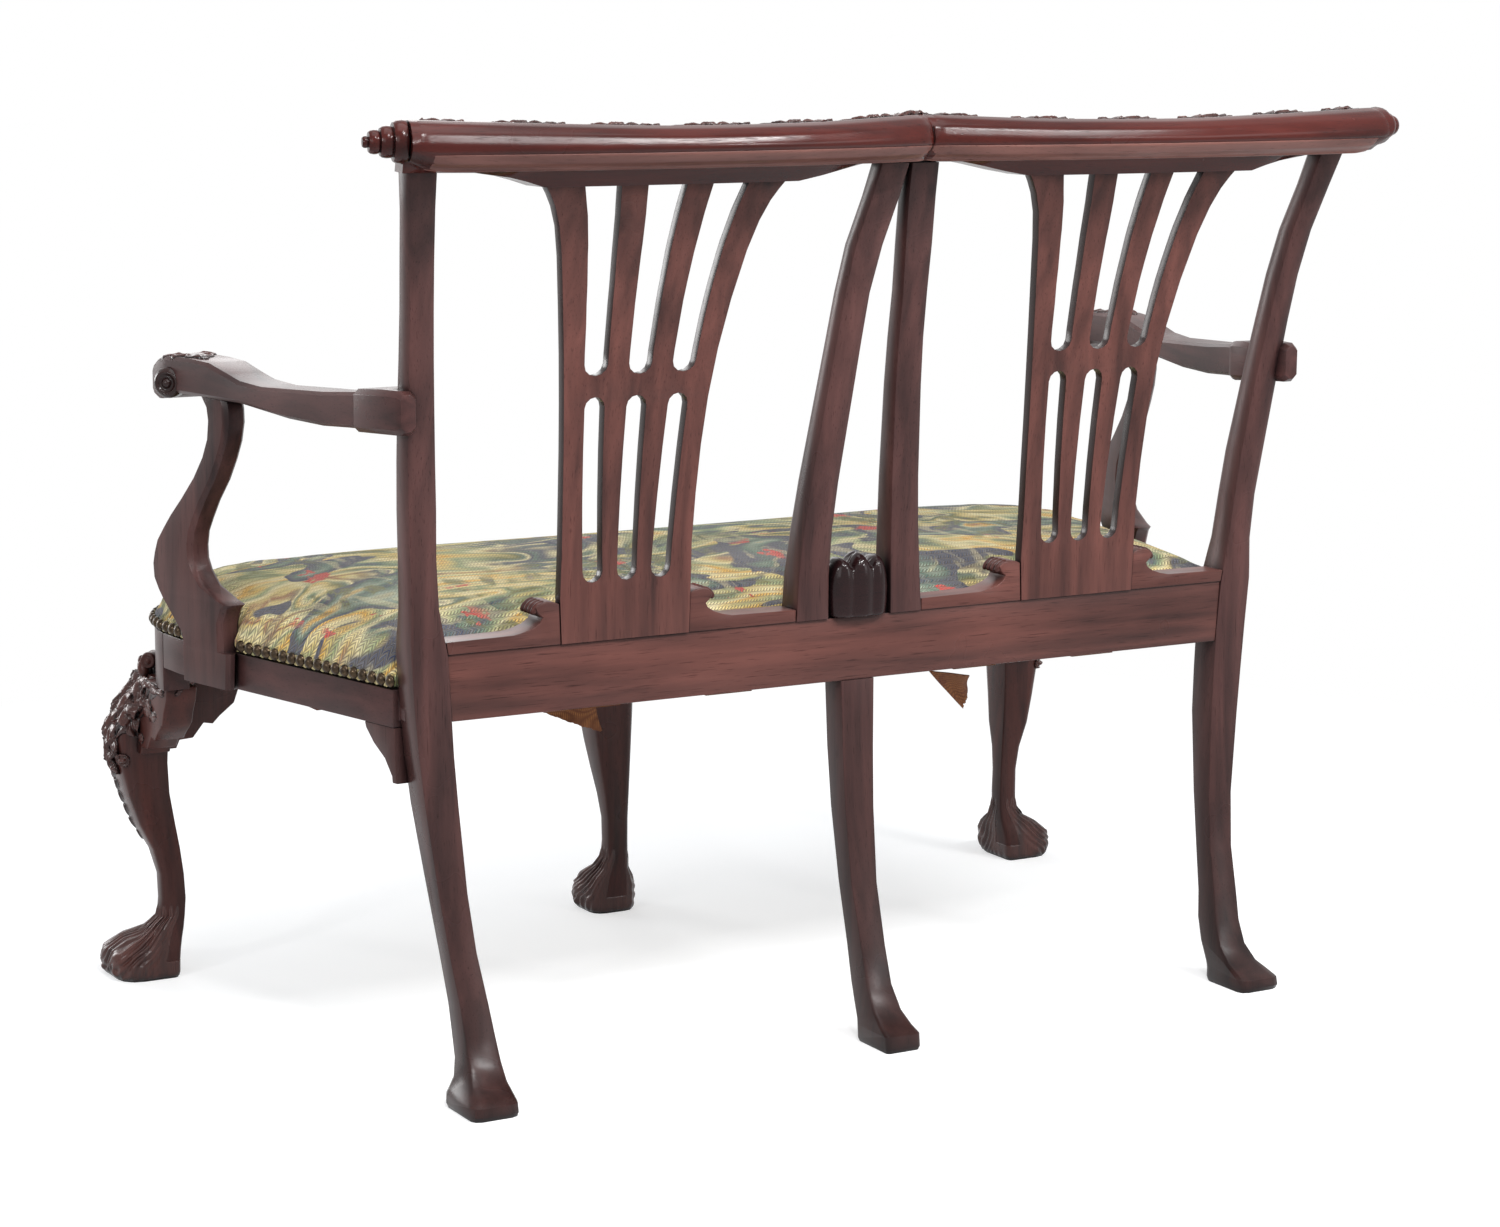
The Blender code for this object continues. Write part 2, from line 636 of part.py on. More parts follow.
def rounded_ring(outer, inner, rear, front, z, radii, steps):
    """Rounded rectangle in plan, with a radius for each corner, from the outer rear one."""
    spots = (
        (outer, rear, -1, -1, 0.0),
        (inner, rear, 1, -1, 90.0),
        (inner, front, 1, 1, 180.0),
        (outer, front, -1, 1, 270.0),
    )
    ring = []
    for (x, y, sx, sy, turn), radius in zip(spots, radii):
        middle_x = x + sx * radius
        middle_y = y + sy * radius
        for step in range(steps + 1):
            angle = math.radians(turn + 90.0 * step / steps)
            ring.append((middle_x + radius * math.cos(angle), middle_y + radius * math.sin(angle), z))
    return ring


def plain_ring(x0, x1, y0, y1, z, steps):
    """Rectangle with the same number of points as a rounded ring, its corners just eased."""
    ease = FIT_GAP
    return rounded_ring(x1, x0, y1, y0, z, (ease, ease, ease, ease), steps)


def cut_away(target, cutter):
    """Cut a piece with another solid, which is hidden and kept as a guide."""
    cutter.hide_render = True
    cutter.display_type = "WIRE"
    cut = target.modifiers.new("cut_" + cutter.name, "BOOLEAN")
    cut.operation = "DIFFERENCE"
    cut.solver = "EXACT"
    cut.object = cutter


def mortise(target, name, low, high):
    """Cut a box-shaped mortise, larger all round than its tenon by the ease."""
    x0, x1 = sorted((low[0], high[0]))
    y0, y1 = low[1] - MORTISE_EASE, high[1] + MORTISE_EASE
    z0, z1 = low[2] - MORTISE_EASE, high[2] + MORTISE_EASE
    x0 = x0 - MORTISE_EASE
    x1 = x1 + MORTISE_EASE
    base = [(x0, y0, z0), (x1, y0, z0), (x1, y1, z0), (x0, y1, z0)]
    cut_away(target, prism(name, base, (0.0, 0.0, z1 - z0), MAHOGANY))


def stile_ring(rows, z, grow, steps):
    """Section of a stile at a height, made larger all round by grow."""
    outer = curve_at(rows, z, 1) + grow
    inner = curve_at(rows, z, 2) - grow
    rear = curve_at(rows, z, 3) + grow
    front = curve_at(rows, z, 4) - grow
    radius = curve_at(rows, z, 5)
    front_radius = min(radius, STILE_FRONT_CORNER_share * (rear - front))
    radii = (radius, radius, front_radius, front_radius)
    return rounded_ring(outer, inner, rear, front, z, radii, steps)


def stile_head_tenon(rows):
    """Tenon box at the top of a stile: inner x, outer x, front y, rear y, foot z, top z."""
    top = rows[-1][0]
    outer = rows[-1][1] - STILE_TENON_SETBACK
    inner = rows[-1][2] + STILE_TENON_SETBACK
    front = rows[-1][4] + STILE_TENON_FRONT
    return inner, outer, front, front + STILE_TENON_THICK, top, top + STILE_TENON_HEIGHT


def end_stile(side):
    """Rear leg and end stile in one piece, with its head tenon and its three mortises."""
    rows = END_STILE_ROWS
    rings = [stile_ring(rows, row[0], 0.0, STILE_CORNER_STEPS) for row in rows]
    inner, outer, front, rear, foot, top = stile_head_tenon(rows)
    rings.append(plain_ring(inner, outer, front, rear, foot, STILE_CORNER_STEPS))
    rings.append(plain_ring(inner, outer, front, rear, top, STILE_CORNER_STEPS))
    name = "rear_leg_stile_" + side_name(side)
    stile = loft(name, [mirrored(side, ring) for ring in rings], MAHOGANY)
    x0, x1, y0, y1, z0, z1 = rear_rail_tenon()
    mortise(stile, name + "_rail_mortise", (side * x0, y0, z0), (side * x1, y1, z1))
    hole = loft(name + "_side_mortise", side_rail_rear_tenon(side, MORTISE_EASE), MAHOGANY)
    cut_away(stile, hole)
    return stile


def inner_stile(side):
    """Inner stile of one chair back, tenoned into the rear rail and the crest rail."""
    rows = INNER_STILE_ROWS
    x0, x1, y0, y1, z0, z1 = stile_foot_tenon()
    inner, outer, front, rear, foot, top = stile_head_tenon(rows)
    rings = [plain_ring(x0, x1, y0, y1, z0, STILE_CORNER_STEPS)]
    rings.append(plain_ring(x0, x1, y0, y1, z1, STILE_CORNER_STEPS))
    rings += [stile_ring(rows, row[0], 0.0, STILE_CORNER_STEPS) for row in rows]
    rings.append(plain_ring(inner, outer, front, rear, foot, STILE_CORNER_STEPS))
    rings.append(plain_ring(inner, outer, front, rear, top, STILE_CORNER_STEPS))
    return loft("inner_stile_" + side_name(side), [mirrored(side, ring) for ring in rings], MAHOGANY)


def stile_foot_tenon():
    """Tenon box under an inner stile: x, x, y, y, z, z."""
    base = INNER_STILE_ROWS[0]
    inner = base[2] + STILE_TENON_SETBACK
    outer = base[1] - STILE_TENON_SETBACK
    front = base[4] + STILE_FOOT_TENON_FRONT
    rear = front + STILE_FOOT_TENON_THICK
    return inner, outer, front, rear, base[0] - STILE_FOOT_TENON_DEPTH, base[0]


def leg_ring(rows, index):
    """Section of a leg of the symmetric kind, from a row with its half width."""
    z, half, rear, front, radius = rows[index]
    return rounded_ring(half, -half, rear, front, z, (radius, radius, radius, radius), LEG_CORNER_STEPS)


def rear_middle_tenon():
    """Tenon box on top of the middle rear leg."""
    top = REAR_MIDDLE_LEG_ROWS[-1]
    front = top[3] + LEG_TENON_FRONT
    rear = front + LEG_TENON_THICK
    return -LEG_TENON_HALF, LEG_TENON_HALF, front, rear, top[0], top[0] + LEG_TENON_HEIGHT


def rear_middle_leg():
    """Middle rear leg, tenoned up into the rear rail."""
    rows = REAR_MIDDLE_LEG_ROWS
    rings = [leg_ring(rows, index) for index in range(len(rows))]
    x0, x1, y0, y1, z0, z1 = rear_middle_tenon()
    rings.append(plain_ring(x0, x1, y0, y1, z0, LEG_CORNER_STEPS))
    rings.append(plain_ring(x0, x1, y0, y1, z1, LEG_CORNER_STEPS))
    return loft("rear_leg_middle", rings, MAHOGANY)


def rear_rail_tenon():
    """Tenon box at the left end of the rear rail, from within the rail's end outward."""
    shoulder = curve_at(END_STILE_ROWS, REAR_RAIL_Z0, 2) - FIT_GAP
    end = shoulder + REAR_RAIL_TENON_LENGTH
    front, rear = REAR_RAIL_TENON_FRONT_Y, REAR_RAIL_TENON_REAR_Y
    return shoulder, end, front, rear, REAR_RAIL_TENON_Z0, REAR_RAIL_TENON_Z1


def rail_end_ring(side):
    """End face of the rear rail, which follows the leaning inner face of the stile."""
    low = curve_at(END_STILE_ROWS, REAR_RAIL_Z0, 2) - FIT_GAP
    high = curve_at(END_STILE_ROWS, REAR_RAIL_Z1, 2) - FIT_GAP
    return mirrored(side, [
        (low, REAR_RAIL_REAR_Y, REAR_RAIL_Z0),
        (low, REAR_RAIL_FRONT_Y, REAR_RAIL_Z0),
        (high, REAR_RAIL_FRONT_Y, REAR_RAIL_Z1),
        (high, REAR_RAIL_REAR_Y, REAR_RAIL_Z1),
    ])


def rail_tenon_rings(side):
    """The two rings of a rear rail tenon: at its leaning shoulder and at its end."""
    x0, x1, y0, y1, z0, z1 = rear_rail_tenon()
    low = curve_at(END_STILE_ROWS, z0, 2) - FIT_GAP
    high = curve_at(END_STILE_ROWS, z1, 2) - FIT_GAP
    foot = mirrored(side, [(low, y1, z0), (low, y0, z0), (high, y0, z1), (high, y1, z1)])
    end = mirrored(side, [(x1, y1, z0), (x1, y0, z0), (x1, y0, z1), (x1, y1, z1)])
    return foot, end


def rear_rail():
    """Rear seat rail with a tenon at each end and mortises for what it carries."""
    foot_left, end_left = rail_tenon_rings(1)
    foot_right, end_right = rail_tenon_rings(-1)
    rings = [end_right, foot_right, rail_end_ring(-1), rail_end_ring(1), foot_left, end_left]
    rail = loft("rear_seat_rail", rings, MAHOGANY)
    for side in (1, -1):
        x0, x1, y0, y1, z0, z1 = stile_foot_tenon()
        mortise(rail, "rail_stile_mortise_" + side_name(side), (side * x0, y0, z0), (side * x1, y1, z1))
        x0, x1, y0, y1, z0, z1 = splat_foot_tenon()
        mortise(rail, "rail_splat_mortise_" + side_name(side), (side * x0, y0, z0), (side * x1, y1, z1))
    x0, x1, y0, y1, z0, z1 = rear_middle_tenon()
    mortise(rail, "rail_leg_mortise", (x0, y0, z0), (x1, y1, z1))
    return rail


def rail_ring(y, outer, thickness, z0, z1):
    """Upright rectangle across a side rail at one place along it."""
    inner = outer - thickness
    return [(outer, y, z0), (outer, y, z1), (inner, y, z1), (inner, y, z0)]


def side_rail_rows():
    """Rows of the side rail as far as the corner block, and one at the block's face."""
    end = CORNER_CENTRE_Y + FIT_GAP
    rows = [row for row in SIDE_RAIL_ROWS if row[0] > end + SEAT_RAIL_THICKNESS]
    return rows + [(end, FRONT_OUTER_X)]


def side_rail_rear_tenon(side, ease):
    """Rings of the side rail's tenon into the stile, made larger by the ease."""
    y, outer = SIDE_RAIL_ROWS[0]
    rings = []
    for place in (y - ease, y + SIDE_RAIL_TENON_LENGTH + ease):
        edge = outer - SIDE_RAIL_TENON_INSET + ease
        wide = SEAT_RAIL_THICKNESS - 2 * SIDE_RAIL_TENON_INSET + 2 * ease
        ring = rail_ring(place, edge, wide, SIDE_RAIL_TENON_Z0 - ease, SIDE_RAIL_TENON_Z1 + ease)
        rings.append(mirrored(side, ring))
    return rings


def side_rail_front_tenon(side, ease):
    """Rings of the side rail's tenon into the corner block."""
    y, outer = side_rail_rows()[-1]
    rings = []
    for place in (y + ease, y - SIDE_RAIL_TENON_LENGTH - ease):
        edge = outer - SIDE_RAIL_TENON_INSET + ease
        wide = SEAT_RAIL_THICKNESS - 2 * SIDE_RAIL_TENON_INSET + 2 * ease
        ring = rail_ring(place, edge, wide, SIDE_RAIL_TENON_Z0 - ease, SIDE_RAIL_TENON_Z1 + ease)
        rings.append(mirrored(side, ring))
    return rings


def side_rail(side):
    """Side seat rail, splayed outward to the front, with a tenon at each end."""
    rings = [side_rail_rear_tenon(side, 0.0)[1], side_rail_rear_tenon(side, 0.0)[0]]
    for y, outer in side_rail_rows():
        ring = rail_ring(y, outer, SEAT_RAIL_THICKNESS, SEAT_RAIL_Z0, SEAT_RAIL_Z1)
        rings.append(mirrored(side, ring))
    rings += side_rail_front_tenon(side, 0.0)
    return loft("side_seat_rail_" + side_name(side), rings, MAHOGANY)


def corner_arc(radius, steps):
    """Points of the rounded corner in plan, from the side to the front."""
    points = []
    for step in range(steps + 1):
        angle = math.radians(-90.0 * step / steps)
        x = CORNER_CENTRE_X + radius * math.cos(angle)
        y = CORNER_CENTRE_Y + radius * math.sin(angle)
        points.append((x, y))
    return points


def corner_point(depth):
    """Point on the rounded corner's diagonal, at a depth within its outer face."""
    reach = (CORNER_RADIUS - depth) * math.sqrt(0.5)
    return CORNER_CENTRE_X + reach, CORNER_CENTRE_Y - reach


def corner_block(side):
    """Rounded corner of the seat frame, with mortises for both rails and the leg."""
    outer = corner_arc(CORNER_RADIUS, CORNER_ARC_STEPS)
    inner = corner_arc(CORNER_RADIUS - CORNER_THICKNESS, CORNER_ARC_STEPS)
    outer.append((CORNER_BLOCK_END_X, FRONT_RAIL_OUTER_Y))
    inner.append((CORNER_BLOCK_END_X, FRONT_RAIL_OUTER_Y + CORNER_THICKNESS))
    outline = [(x, y, CORNER_BLOCK_Z0) for x, y in outer + inner[::-1]]
    name = "corner_block_" + side_name(side)
    block = prism(name, mirrored(side, outline), (0.0, 0.0, SEAT_RAIL_Z1 - CORNER_BLOCK_Z0), MAHOGANY)
    cut_away(block, loft(name + "_side_mortise", side_rail_front_tenon(side, MORTISE_EASE), MAHOGANY))
    x0, x1, y0, y1, z0, z1 = front_rail_tenon()
    mortise(block, name + "_front_mortise", (side * x0, y0, z0), (side * x1, y1, z1))
    x0, x1, y0, y1, z0, z1 = corner_tenon()
    mortise(block, name + "_leg_mortise", (side * x0, y0, z0), (side * x1, y1, z1))
    return block


def front_rail_tenon():
    """Tenon box at the left end of the front rail."""
    end = CORNER_BLOCK_END_X - FIT_GAP
    y0 = FRONT_RAIL_OUTER_Y + FRONT_RAIL_TENON_INSET
    y1 = FRONT_RAIL_OUTER_Y + SEAT_RAIL_THICKNESS - FRONT_RAIL_TENON_INSET
    return end, end + FRONT_RAIL_TENON_LENGTH, y0, y1, SIDE_RAIL_TENON_Z0, SIDE_RAIL_TENON_Z1


def cross_ring(x, y0, y1, z0, z1):
    """Upright rectangle across a rail that runs along x."""
    return [(x, y0, z0), (x, y0, z1), (x, y1, z1), (x, y1, z0)]


def front_rail():
    """Front seat rail with a tenon at each end and a mortise for the middle leg."""
    x0, x1, y0, y1, z0, z1 = front_rail_tenon()
    back = FRONT_RAIL_OUTER_Y + SEAT_RAIL_THICKNESS
    rings = [
        cross_ring(-x1, y0, y1, z0, z1),
        cross_ring(-x0, y0, y1, z0, z1),
        cross_ring(-x0, FRONT_RAIL_OUTER_Y, back, SEAT_RAIL_Z0, SEAT_RAIL_Z1),
        cross_ring(x0, FRONT_RAIL_OUTER_Y, back, SEAT_RAIL_Z0, SEAT_RAIL_Z1),
        cross_ring(x0, y0, y1, z0, z1),
        cross_ring(x1, y0, y1, z0, z1),
    ]
    rail = loft("front_seat_rail", rings, MAHOGANY)
    x0, x1, y0, y1, z0, z1 = front_middle_tenon()
    mortise(rail, "front_rail_leg_mortise", (x0, y0, z0), (x1, y1, z1))
    return rail


def corner_tenon():
    """Tenon box on top of a front corner leg."""
    top = FRONT_LEG_ROWS[-1][0]
    x, y = corner_point(CORNER_TENON_DEPTH)
    half = CORNER_TENON_HALF
    return x - half, x + half, y - half, y + half, top, top + CORNER_TENON_HEIGHT


def front_leg(side):
    """Cabriole front leg on the corner, with a paw foot, tenoned into the corner block."""
    x, y = corner_point(0.0)
    rings = []
    for z, outer, inner, rear, front, radius in FRONT_LEG_ROWS:
        plain = LEG_REAR_CORNER_share * radius
        radii = (radius, plain, radius, radius)
        ring = rounded_ring(x + outer, x + inner, y + rear, y + front, z, radii, LEG_CORNER_STEPS)
        rings.append(ring)
    x0, x1, y0, y1, z0, z1 = corner_tenon()
    rings.append(plain_ring(x0, x1, y0, y1, z0, LEG_CORNER_STEPS))
    rings.append(plain_ring(x0, x1, y0, y1, z1, LEG_CORNER_STEPS))
    return loft("front_leg_" + side_name(side), [mirrored(side, ring) for ring in rings], MAHOGANY)


def front_middle_tenon():
    """Tenon box on top of the middle front leg."""
    top = FRONT_MIDDLE_LEG_ROWS[-1][0]
    middle = FRONT_RAIL_OUTER_Y + SEAT_RAIL_THICKNESS / 2
    half_x = FRONT_MIDDLE_TENON_HALF_X
    half_y = FRONT_MIDDLE_TENON_HALF_Y
    return -half_x, half_x, middle - half_y, middle + half_y, top, top + FRONT_MIDDLE_TENON_HEIGHT


def front_middle_leg():
    """Middle cabriole front leg, facing forward, tenoned into the front rail."""
    rows = FRONT_MIDDLE_LEG_ROWS
    rings = [leg_ring(rows, index) for index in range(len(rows))]
    x0, x1, y0, y1, z0, z1 = front_middle_tenon()
    rings.append(plain_ring(x0, x1, y0, y1, z0, LEG_CORNER_STEPS))
    rings.append(plain_ring(x0, x1, y0, y1, z1, LEG_CORNER_STEPS))
    return loft("front_leg_middle", rings, MAHOGANY)


def leg_side_heights(rows, z0, z1):
    """Heights at which a bracket's glued face follows its leg, from the foot up."""
    return [z0] + [row[0] for row in rows if z0 < row[0] < z1] + [z1]


def knee_bracket_front(side):
    """Bracket between a corner leg and the underside of the front of its corner block."""
    x, y = corner_point(0.0)
    front = FRONT_RAIL_OUTER_Y - BRACKET_PROUD
    outline = [(x - KNEE_INSET_X - distance, front, z) for distance, z in KNEE_BRACKET_EDGE]
    top = KNEE_BRACKET_EDGE[0][1]
    for z in leg_side_heights(FRONT_LEG_ROWS, BRACKET_LEG_Z0, top):
        outline.append((x + straight_at(FRONT_LEG_ROWS, z, 2) - FIT_GAP, front, z))
    name = "knee_bracket_front_" + side_name(side)
    return prism(name, mirrored(side, outline), (0.0, BRACKET_DEPTH, 0.0), MAHOGANY)


def knee_bracket_side(side):
    """Bracket between a corner leg and the underside of the side of its corner block."""
    x, y = corner_point(0.0)
    outer = FRONT_OUTER_X + BRACKET_SIDE_PROUD
    outline = [(outer, y - KNEE_INSET_Y + distance, z) for distance, z in KNEE_BRACKET_EDGE]
    top = KNEE_BRACKET_EDGE[0][1]
    for z in leg_side_heights(FRONT_LEG_ROWS, BRACKET_LEG_Z0, top):
        outline.append((outer, y + straight_at(FRONT_LEG_ROWS, z, 3) + FIT_GAP, z))
    name = "knee_bracket_side_" + side_name(side)
    return prism(name, mirrored(side, outline), (-side * BRACKET_DEPTH, 0.0, 0.0), MAHOGANY)


def straight_at(rows, z, column):
    """Straight-line value of a column between its rows, as the lofted solid has it."""
    last = len(rows) - 1
    index = max([i for i in range(last) if rows[i][0] <= z] or [0])
    span = rows[index + 1][0] - rows[index][0]
    share = min((z - rows[index][0]) / span, 1.0)
    return rows[index][column] + share * (rows[index + 1][column] - rows[index][column])


def middle_bracket(side):
    """Bracket between the middle front leg and the underside of the front rail."""
    front = FRONT_RAIL_OUTER_Y - MIDDLE_BRACKET_PROUD
    outline = [(distance, front, z) for distance, z in MIDDLE_BRACKET_EDGE]
    top = MIDDLE_BRACKET_EDGE[0][1]
    for z in leg_side_heights(FRONT_MIDDLE_LEG_ROWS, MIDDLE_BRACKET_LEG_Z0, top):
        outline.append((straight_at(FRONT_MIDDLE_LEG_ROWS, z, 1) + FIT_GAP, front, z))
    name = "knee_bracket_middle_" + side_name(side)
    return prism(name, mirrored(side, outline), (0.0, MIDDLE_BRACKET_DEPTH, 0.0), MAHOGANY)


def rear_bracket(side):
    """Small shaped bracket under a side rail, against the front of the rear leg."""
    y0, x0 = SIDE_RAIL_ROWS[0]
    y1, x1 = SIDE_RAIL_ROWS[2]
    splay = (x1 - x0) / (y0 - y1)
    points = []
    for distance, z in REAR_BRACKET_EDGE:
        points.append((y0 - distance, z))
    top = REAR_BRACKET_EDGE[0][1]
    for z in leg_side_heights(END_STILE_ROWS, REAR_BRACKET_LEG_Z0, top):
        points.append((straight_at(END_STILE_ROWS, z, 4) - FIT_GAP, z))
    outline = [(x0 - REAR_BRACKET_SETBACK + splay * (y0 - y), y, z) for y, z in points]
    name = "rear_bracket_" + side_name(side)
    offset = (-side * REAR_BRACKET_THICKNESS, 0.0, 0.0)
    return prism(name, mirrored(side, outline), offset, MAHOGANY)


def splat_half(z):
    """Half the splat's width at a height."""
    return curve_at(SPLAT_HALF_ROWS, z, 1)


def splat_foot_tenon():
    """Tenon box under a splat, covered behind by the rail's rear face: x, x, y, y, z, z."""
    half = splat_half(SPLAT_BASE_Z) - SPLAT_TENON_SETBACK
    rear = -SPLAT_FOOT_TENON_COVER
    front = rear - SPLAT_FOOT_TENON_THICK
    foot = SPLAT_BASE_Z - SPLAT_FOOT_TENON_DEPTH
    return SPLAT_MIDDLE_X - half, SPLAT_MIDDLE_X + half, front, rear, foot, SPLAT_BASE_Z


def opening_edges():
    """For the three upper openings, from -x to +x: lists of (z, lower x, upper x)."""
    edges = []
    for place in (-1, 0, 1):
        rows = []
        for z, offset, side_width, middle_width in UPPER_OPENING_ROWS:
            width = middle_width if place == 0 else side_width
            middle = SPLAT_MIDDLE_X + place * offset
            rows.append((z, middle - width / 2, middle + width / 2))
        edges.append(rows)
    return edges


def round_end(x0, x1, z, depth, steps):
    """Half ellipse from x0 to x1, bulging down by depth (up where depth is negative)."""
    middle = (x0 + x1) / 2
    half = (x1 - x0) / 2
    points = []
    for step in range(1, steps):
        angle = math.pi * step / steps
        points.append((middle - half * math.cos(angle), z - depth * math.sin(angle)))
    return points


def splat_outline():
    """Outline of a splat in its own plane, with its openings to the crest as notches."""
    heights = [row[0] for row in SPLAT_HALF_ROWS]
    outline = [(SPLAT_MIDDLE_X - splat_half(z), z) for z in heights]
    for rows in opening_edges():
        outline += [(low, z) for z, low, high in rows[::-1]]
        z, low, high = rows[0]
        outline += round_end(low, high, z, z - UPPER_OPENING_Z0, SLOT_END_STEPS)
        outline += [(high, z) for z, low, high in rows]
    outline += [(SPLAT_MIDDLE_X + splat_half(z), z) for z in heights[::-1]]
    return outline


def slot_outlines():
    """Outlines of the three closed lower slots."""
    half = LOWER_SLOT_WIDTH / 2
    outlines = []
    for place in (-1, 0, 1):
        foot = SPLAT_MIDDLE_X + place * LOWER_SLOT_FOOT_OFFSET
        head = SPLAT_MIDDLE_X + place * LOWER_SLOT_HEAD_OFFSET
        z0 = LOWER_SLOT_Z0 + half
        z1 = LOWER_SLOT_Z1 - half
        points = [(foot - half, z0)] + round_end(foot - half, foot + half, z0, half, SLOT_END_STEPS)
        points += [(foot + half, z0), (head + half, z1)]
        points += round_end(head - half, head + half, z1, -half, SLOT_END_STEPS)[::-1]
        points.append((head - half, z1))
        outlines.append(points)
    return outlines


def splat_tenons():
    """Tenon boxes of the four bars of a splat into the crest rail."""
    top = SPLAT_TOP_Z
    half = splat_half(top)
    edges = [SPLAT_MIDDLE_X - half]
    for rows in opening_edges():
        edges += [rows[-1][1], rows[-1][2]]
    edges.append(SPLAT_MIDDLE_X + half)
    rear = SPLAT_REAR_ROWS[-1][1] - (SPLAT_THICKNESS - SPLAT_TENON_THICKNESS) / 2
    boxes = []
    for index in range(0, len(edges), 2):
        x0 = edges[index] + SPLAT_TENON_SETBACK
        x1 = edges[index + 1] - SPLAT_TENON_SETBACK
        boxes.append((x0, x1, rear - SPLAT_TENON_THICKNESS, rear, top, top + SPLAT_TENON_HEIGHT))
    return boxes


def loop_edges(shape, points):
    """Closed loop of edges through (x, z) points on the plane y = 0."""
    verts = [shape.verts.new((x, 0.0, z)) for x, z in points]
    return [shape.edges.new((verts[i - 1], verts[i])) for i in range(len(verts))]


def add_box(shape, box, side):
    """Add the faces of a box to a bmesh and return its new vertices."""
    x0, x1, y0, y1, z0, z1 = box
    made = bmesh.ops.create_cube(shape, size=1.0)["verts"]
    for vert in made:
        vert.co.x = side * ((x0 + x1) / 2 + vert.co.x * (x1 - x0))
        vert.co.y = (y0 + y1) / 2 + vert.co.y * (y1 - y0)
        vert.co.z = (z0 + z1) / 2 + vert.co.z * (z1 - z0)
    return made


def splat_tenon_union(side, index, box):
    """One tenon as a guide solid that a Boolean union joins to its splat."""
    x0, x1, y0, y1, z0, z1 = box
    shape = bmesh.new()
    add_box(shape, (x0, x1, y0, y1, z0, z1), side)
    guide = finish_mesh("splat_tenon_%s_%d" % (side_name(side), index), shape, MAHOGANY)
    guide.hide_render = True
    guide.display_type = "WIRE"
    return guide


def splat(side):
    """Pierced splat, bent to the rake of the back, with its tenons at foot and head."""
    shape = bmesh.new()
    edges = loop_edges(shape, splat_outline())
    for slot in slot_outlines():
        edges += loop_edges(shape, slot)
    bmesh.ops.triangle_fill(shape, use_beauty=True, edges=edges)
    for z, rear in SPLAT_REAR_ROWS[1:-1]:
        everything = shape.verts[:] + shape.edges[:] + shape.faces[:]
        bmesh.ops.bisect_plane(shape, geom=everything, plane_co=(0, 0, z), plane_no=(0, 0, 1))
    made = bmesh.ops.extrude_face_region(shape, geom=shape.faces[:], use_keep_orig=True)
    for item in made["geom"]:
        if isinstance(item, bmesh.types.BMVert):
            item.co.y -= SPLAT_THICKNESS
    for vert in shape.verts:
        vert.co.y += straight_at(SPLAT_REAR_ROWS, vert.co.z, 1)
        vert.co.x *= side
    panel = finish_mesh("splat_" + side_name(side), shape, MAHOGANY)
    x0, x1, y0, y1, z0, z1 = splat_foot_tenon()
    boxes = [(x0, x1, y0, y1, z0, z1 + SPLAT_TENON_SETBACK)]
    for x0, x1, y0, y1, z0, z1 in splat_tenons():
        boxes.append((x0, x1, y0, y1, z0 - SPLAT_TENON_SETBACK / 2, z1))
    for index, box in enumerate(boxes):
        join = panel.modifiers.new("tenon_%d" % index, "BOOLEAN")
        join.operation = "UNION"
        join.solver = "EXACT"
        join.object = splat_tenon_union(side, index, box)
    return panel


def crest_ring(x):
    """Section of the crest rail at one place along it."""
    reach = abs(x)
    bow = curve_at(CREST_BOW_ROWS, reach, 1)
    lift = curve_at(CREST_LIFT_ROWS, reach, 1)
    apron = straight_at(CREST_APRON_ROWS, reach, 1)
    lean = CREST_RAKE_share * (apron - CREST_REFERENCE_Z)
    ring = [(x, CREST_APRON_FRONT_Y + lean + bow, apron)]
    low = CREST_SECTION[-1][1]
    high = CREST_SECTION[4][1]
    for y, z in CREST_SECTION:
        rise = end_rise(reach, z) if y > CREST_APRON_REAR_Y else 0.0
        ring.append((x, y + bow, z + rise + lift * (z - low) / (high - low)))
    ring.append((x, CREST_APRON_REAR_Y + lean + bow, apron))
    return [(x + math.copysign(end_slant(reach, y), x), y, z) for x, y, z in ring]


def end_rise(reach, z):
    """How far the underside of the roll curves up at the rail's end."""
    near = max(1 - (CREST_END_X - reach) / CREST_RISE_LENGTH, 0.0)
    low = CREST_SECTION[-1][1]
    return CREST_RISE_HEIGHT * near**2 * max(CREST_RISE_Z1 - z, 0.0) / (CREST_RISE_Z1 - low)


def end_slant(reach, y):
    """How far the slanting end carries a point at y outward, at a reach along the rail."""
    turn = max(reach - CREST_TURN_X, 0.0) / (CREST_END_X - CREST_TURN_X)
    return turn * math.tan(math.radians(CREST_END_ANGLE)) * (y - CREST_APRON_FRONT_Y)


def crest_stations():
    """Places along the crest rail: even steps, and every turn of its apron."""
    count = math.ceil(CREST_END_X / CREST_STATION_STEP)
    places = [CREST_END_X * step / count for step in range(count + 1)]
    places += [row[0] for row in CREST_APRON_ROWS[1:-1]]
    places.append(CREST_END_X - CREST_RISE_LENGTH / 2)
    right = sorted(places)
    kept = [right[0]]
    for place in right[1:]:
        if place - kept[-1] > CREST_STATION_CLEAR:
            kept.append(place)
    kept[-1] = CREST_END_X
    return [-place for place in kept[:0:-1]] + kept


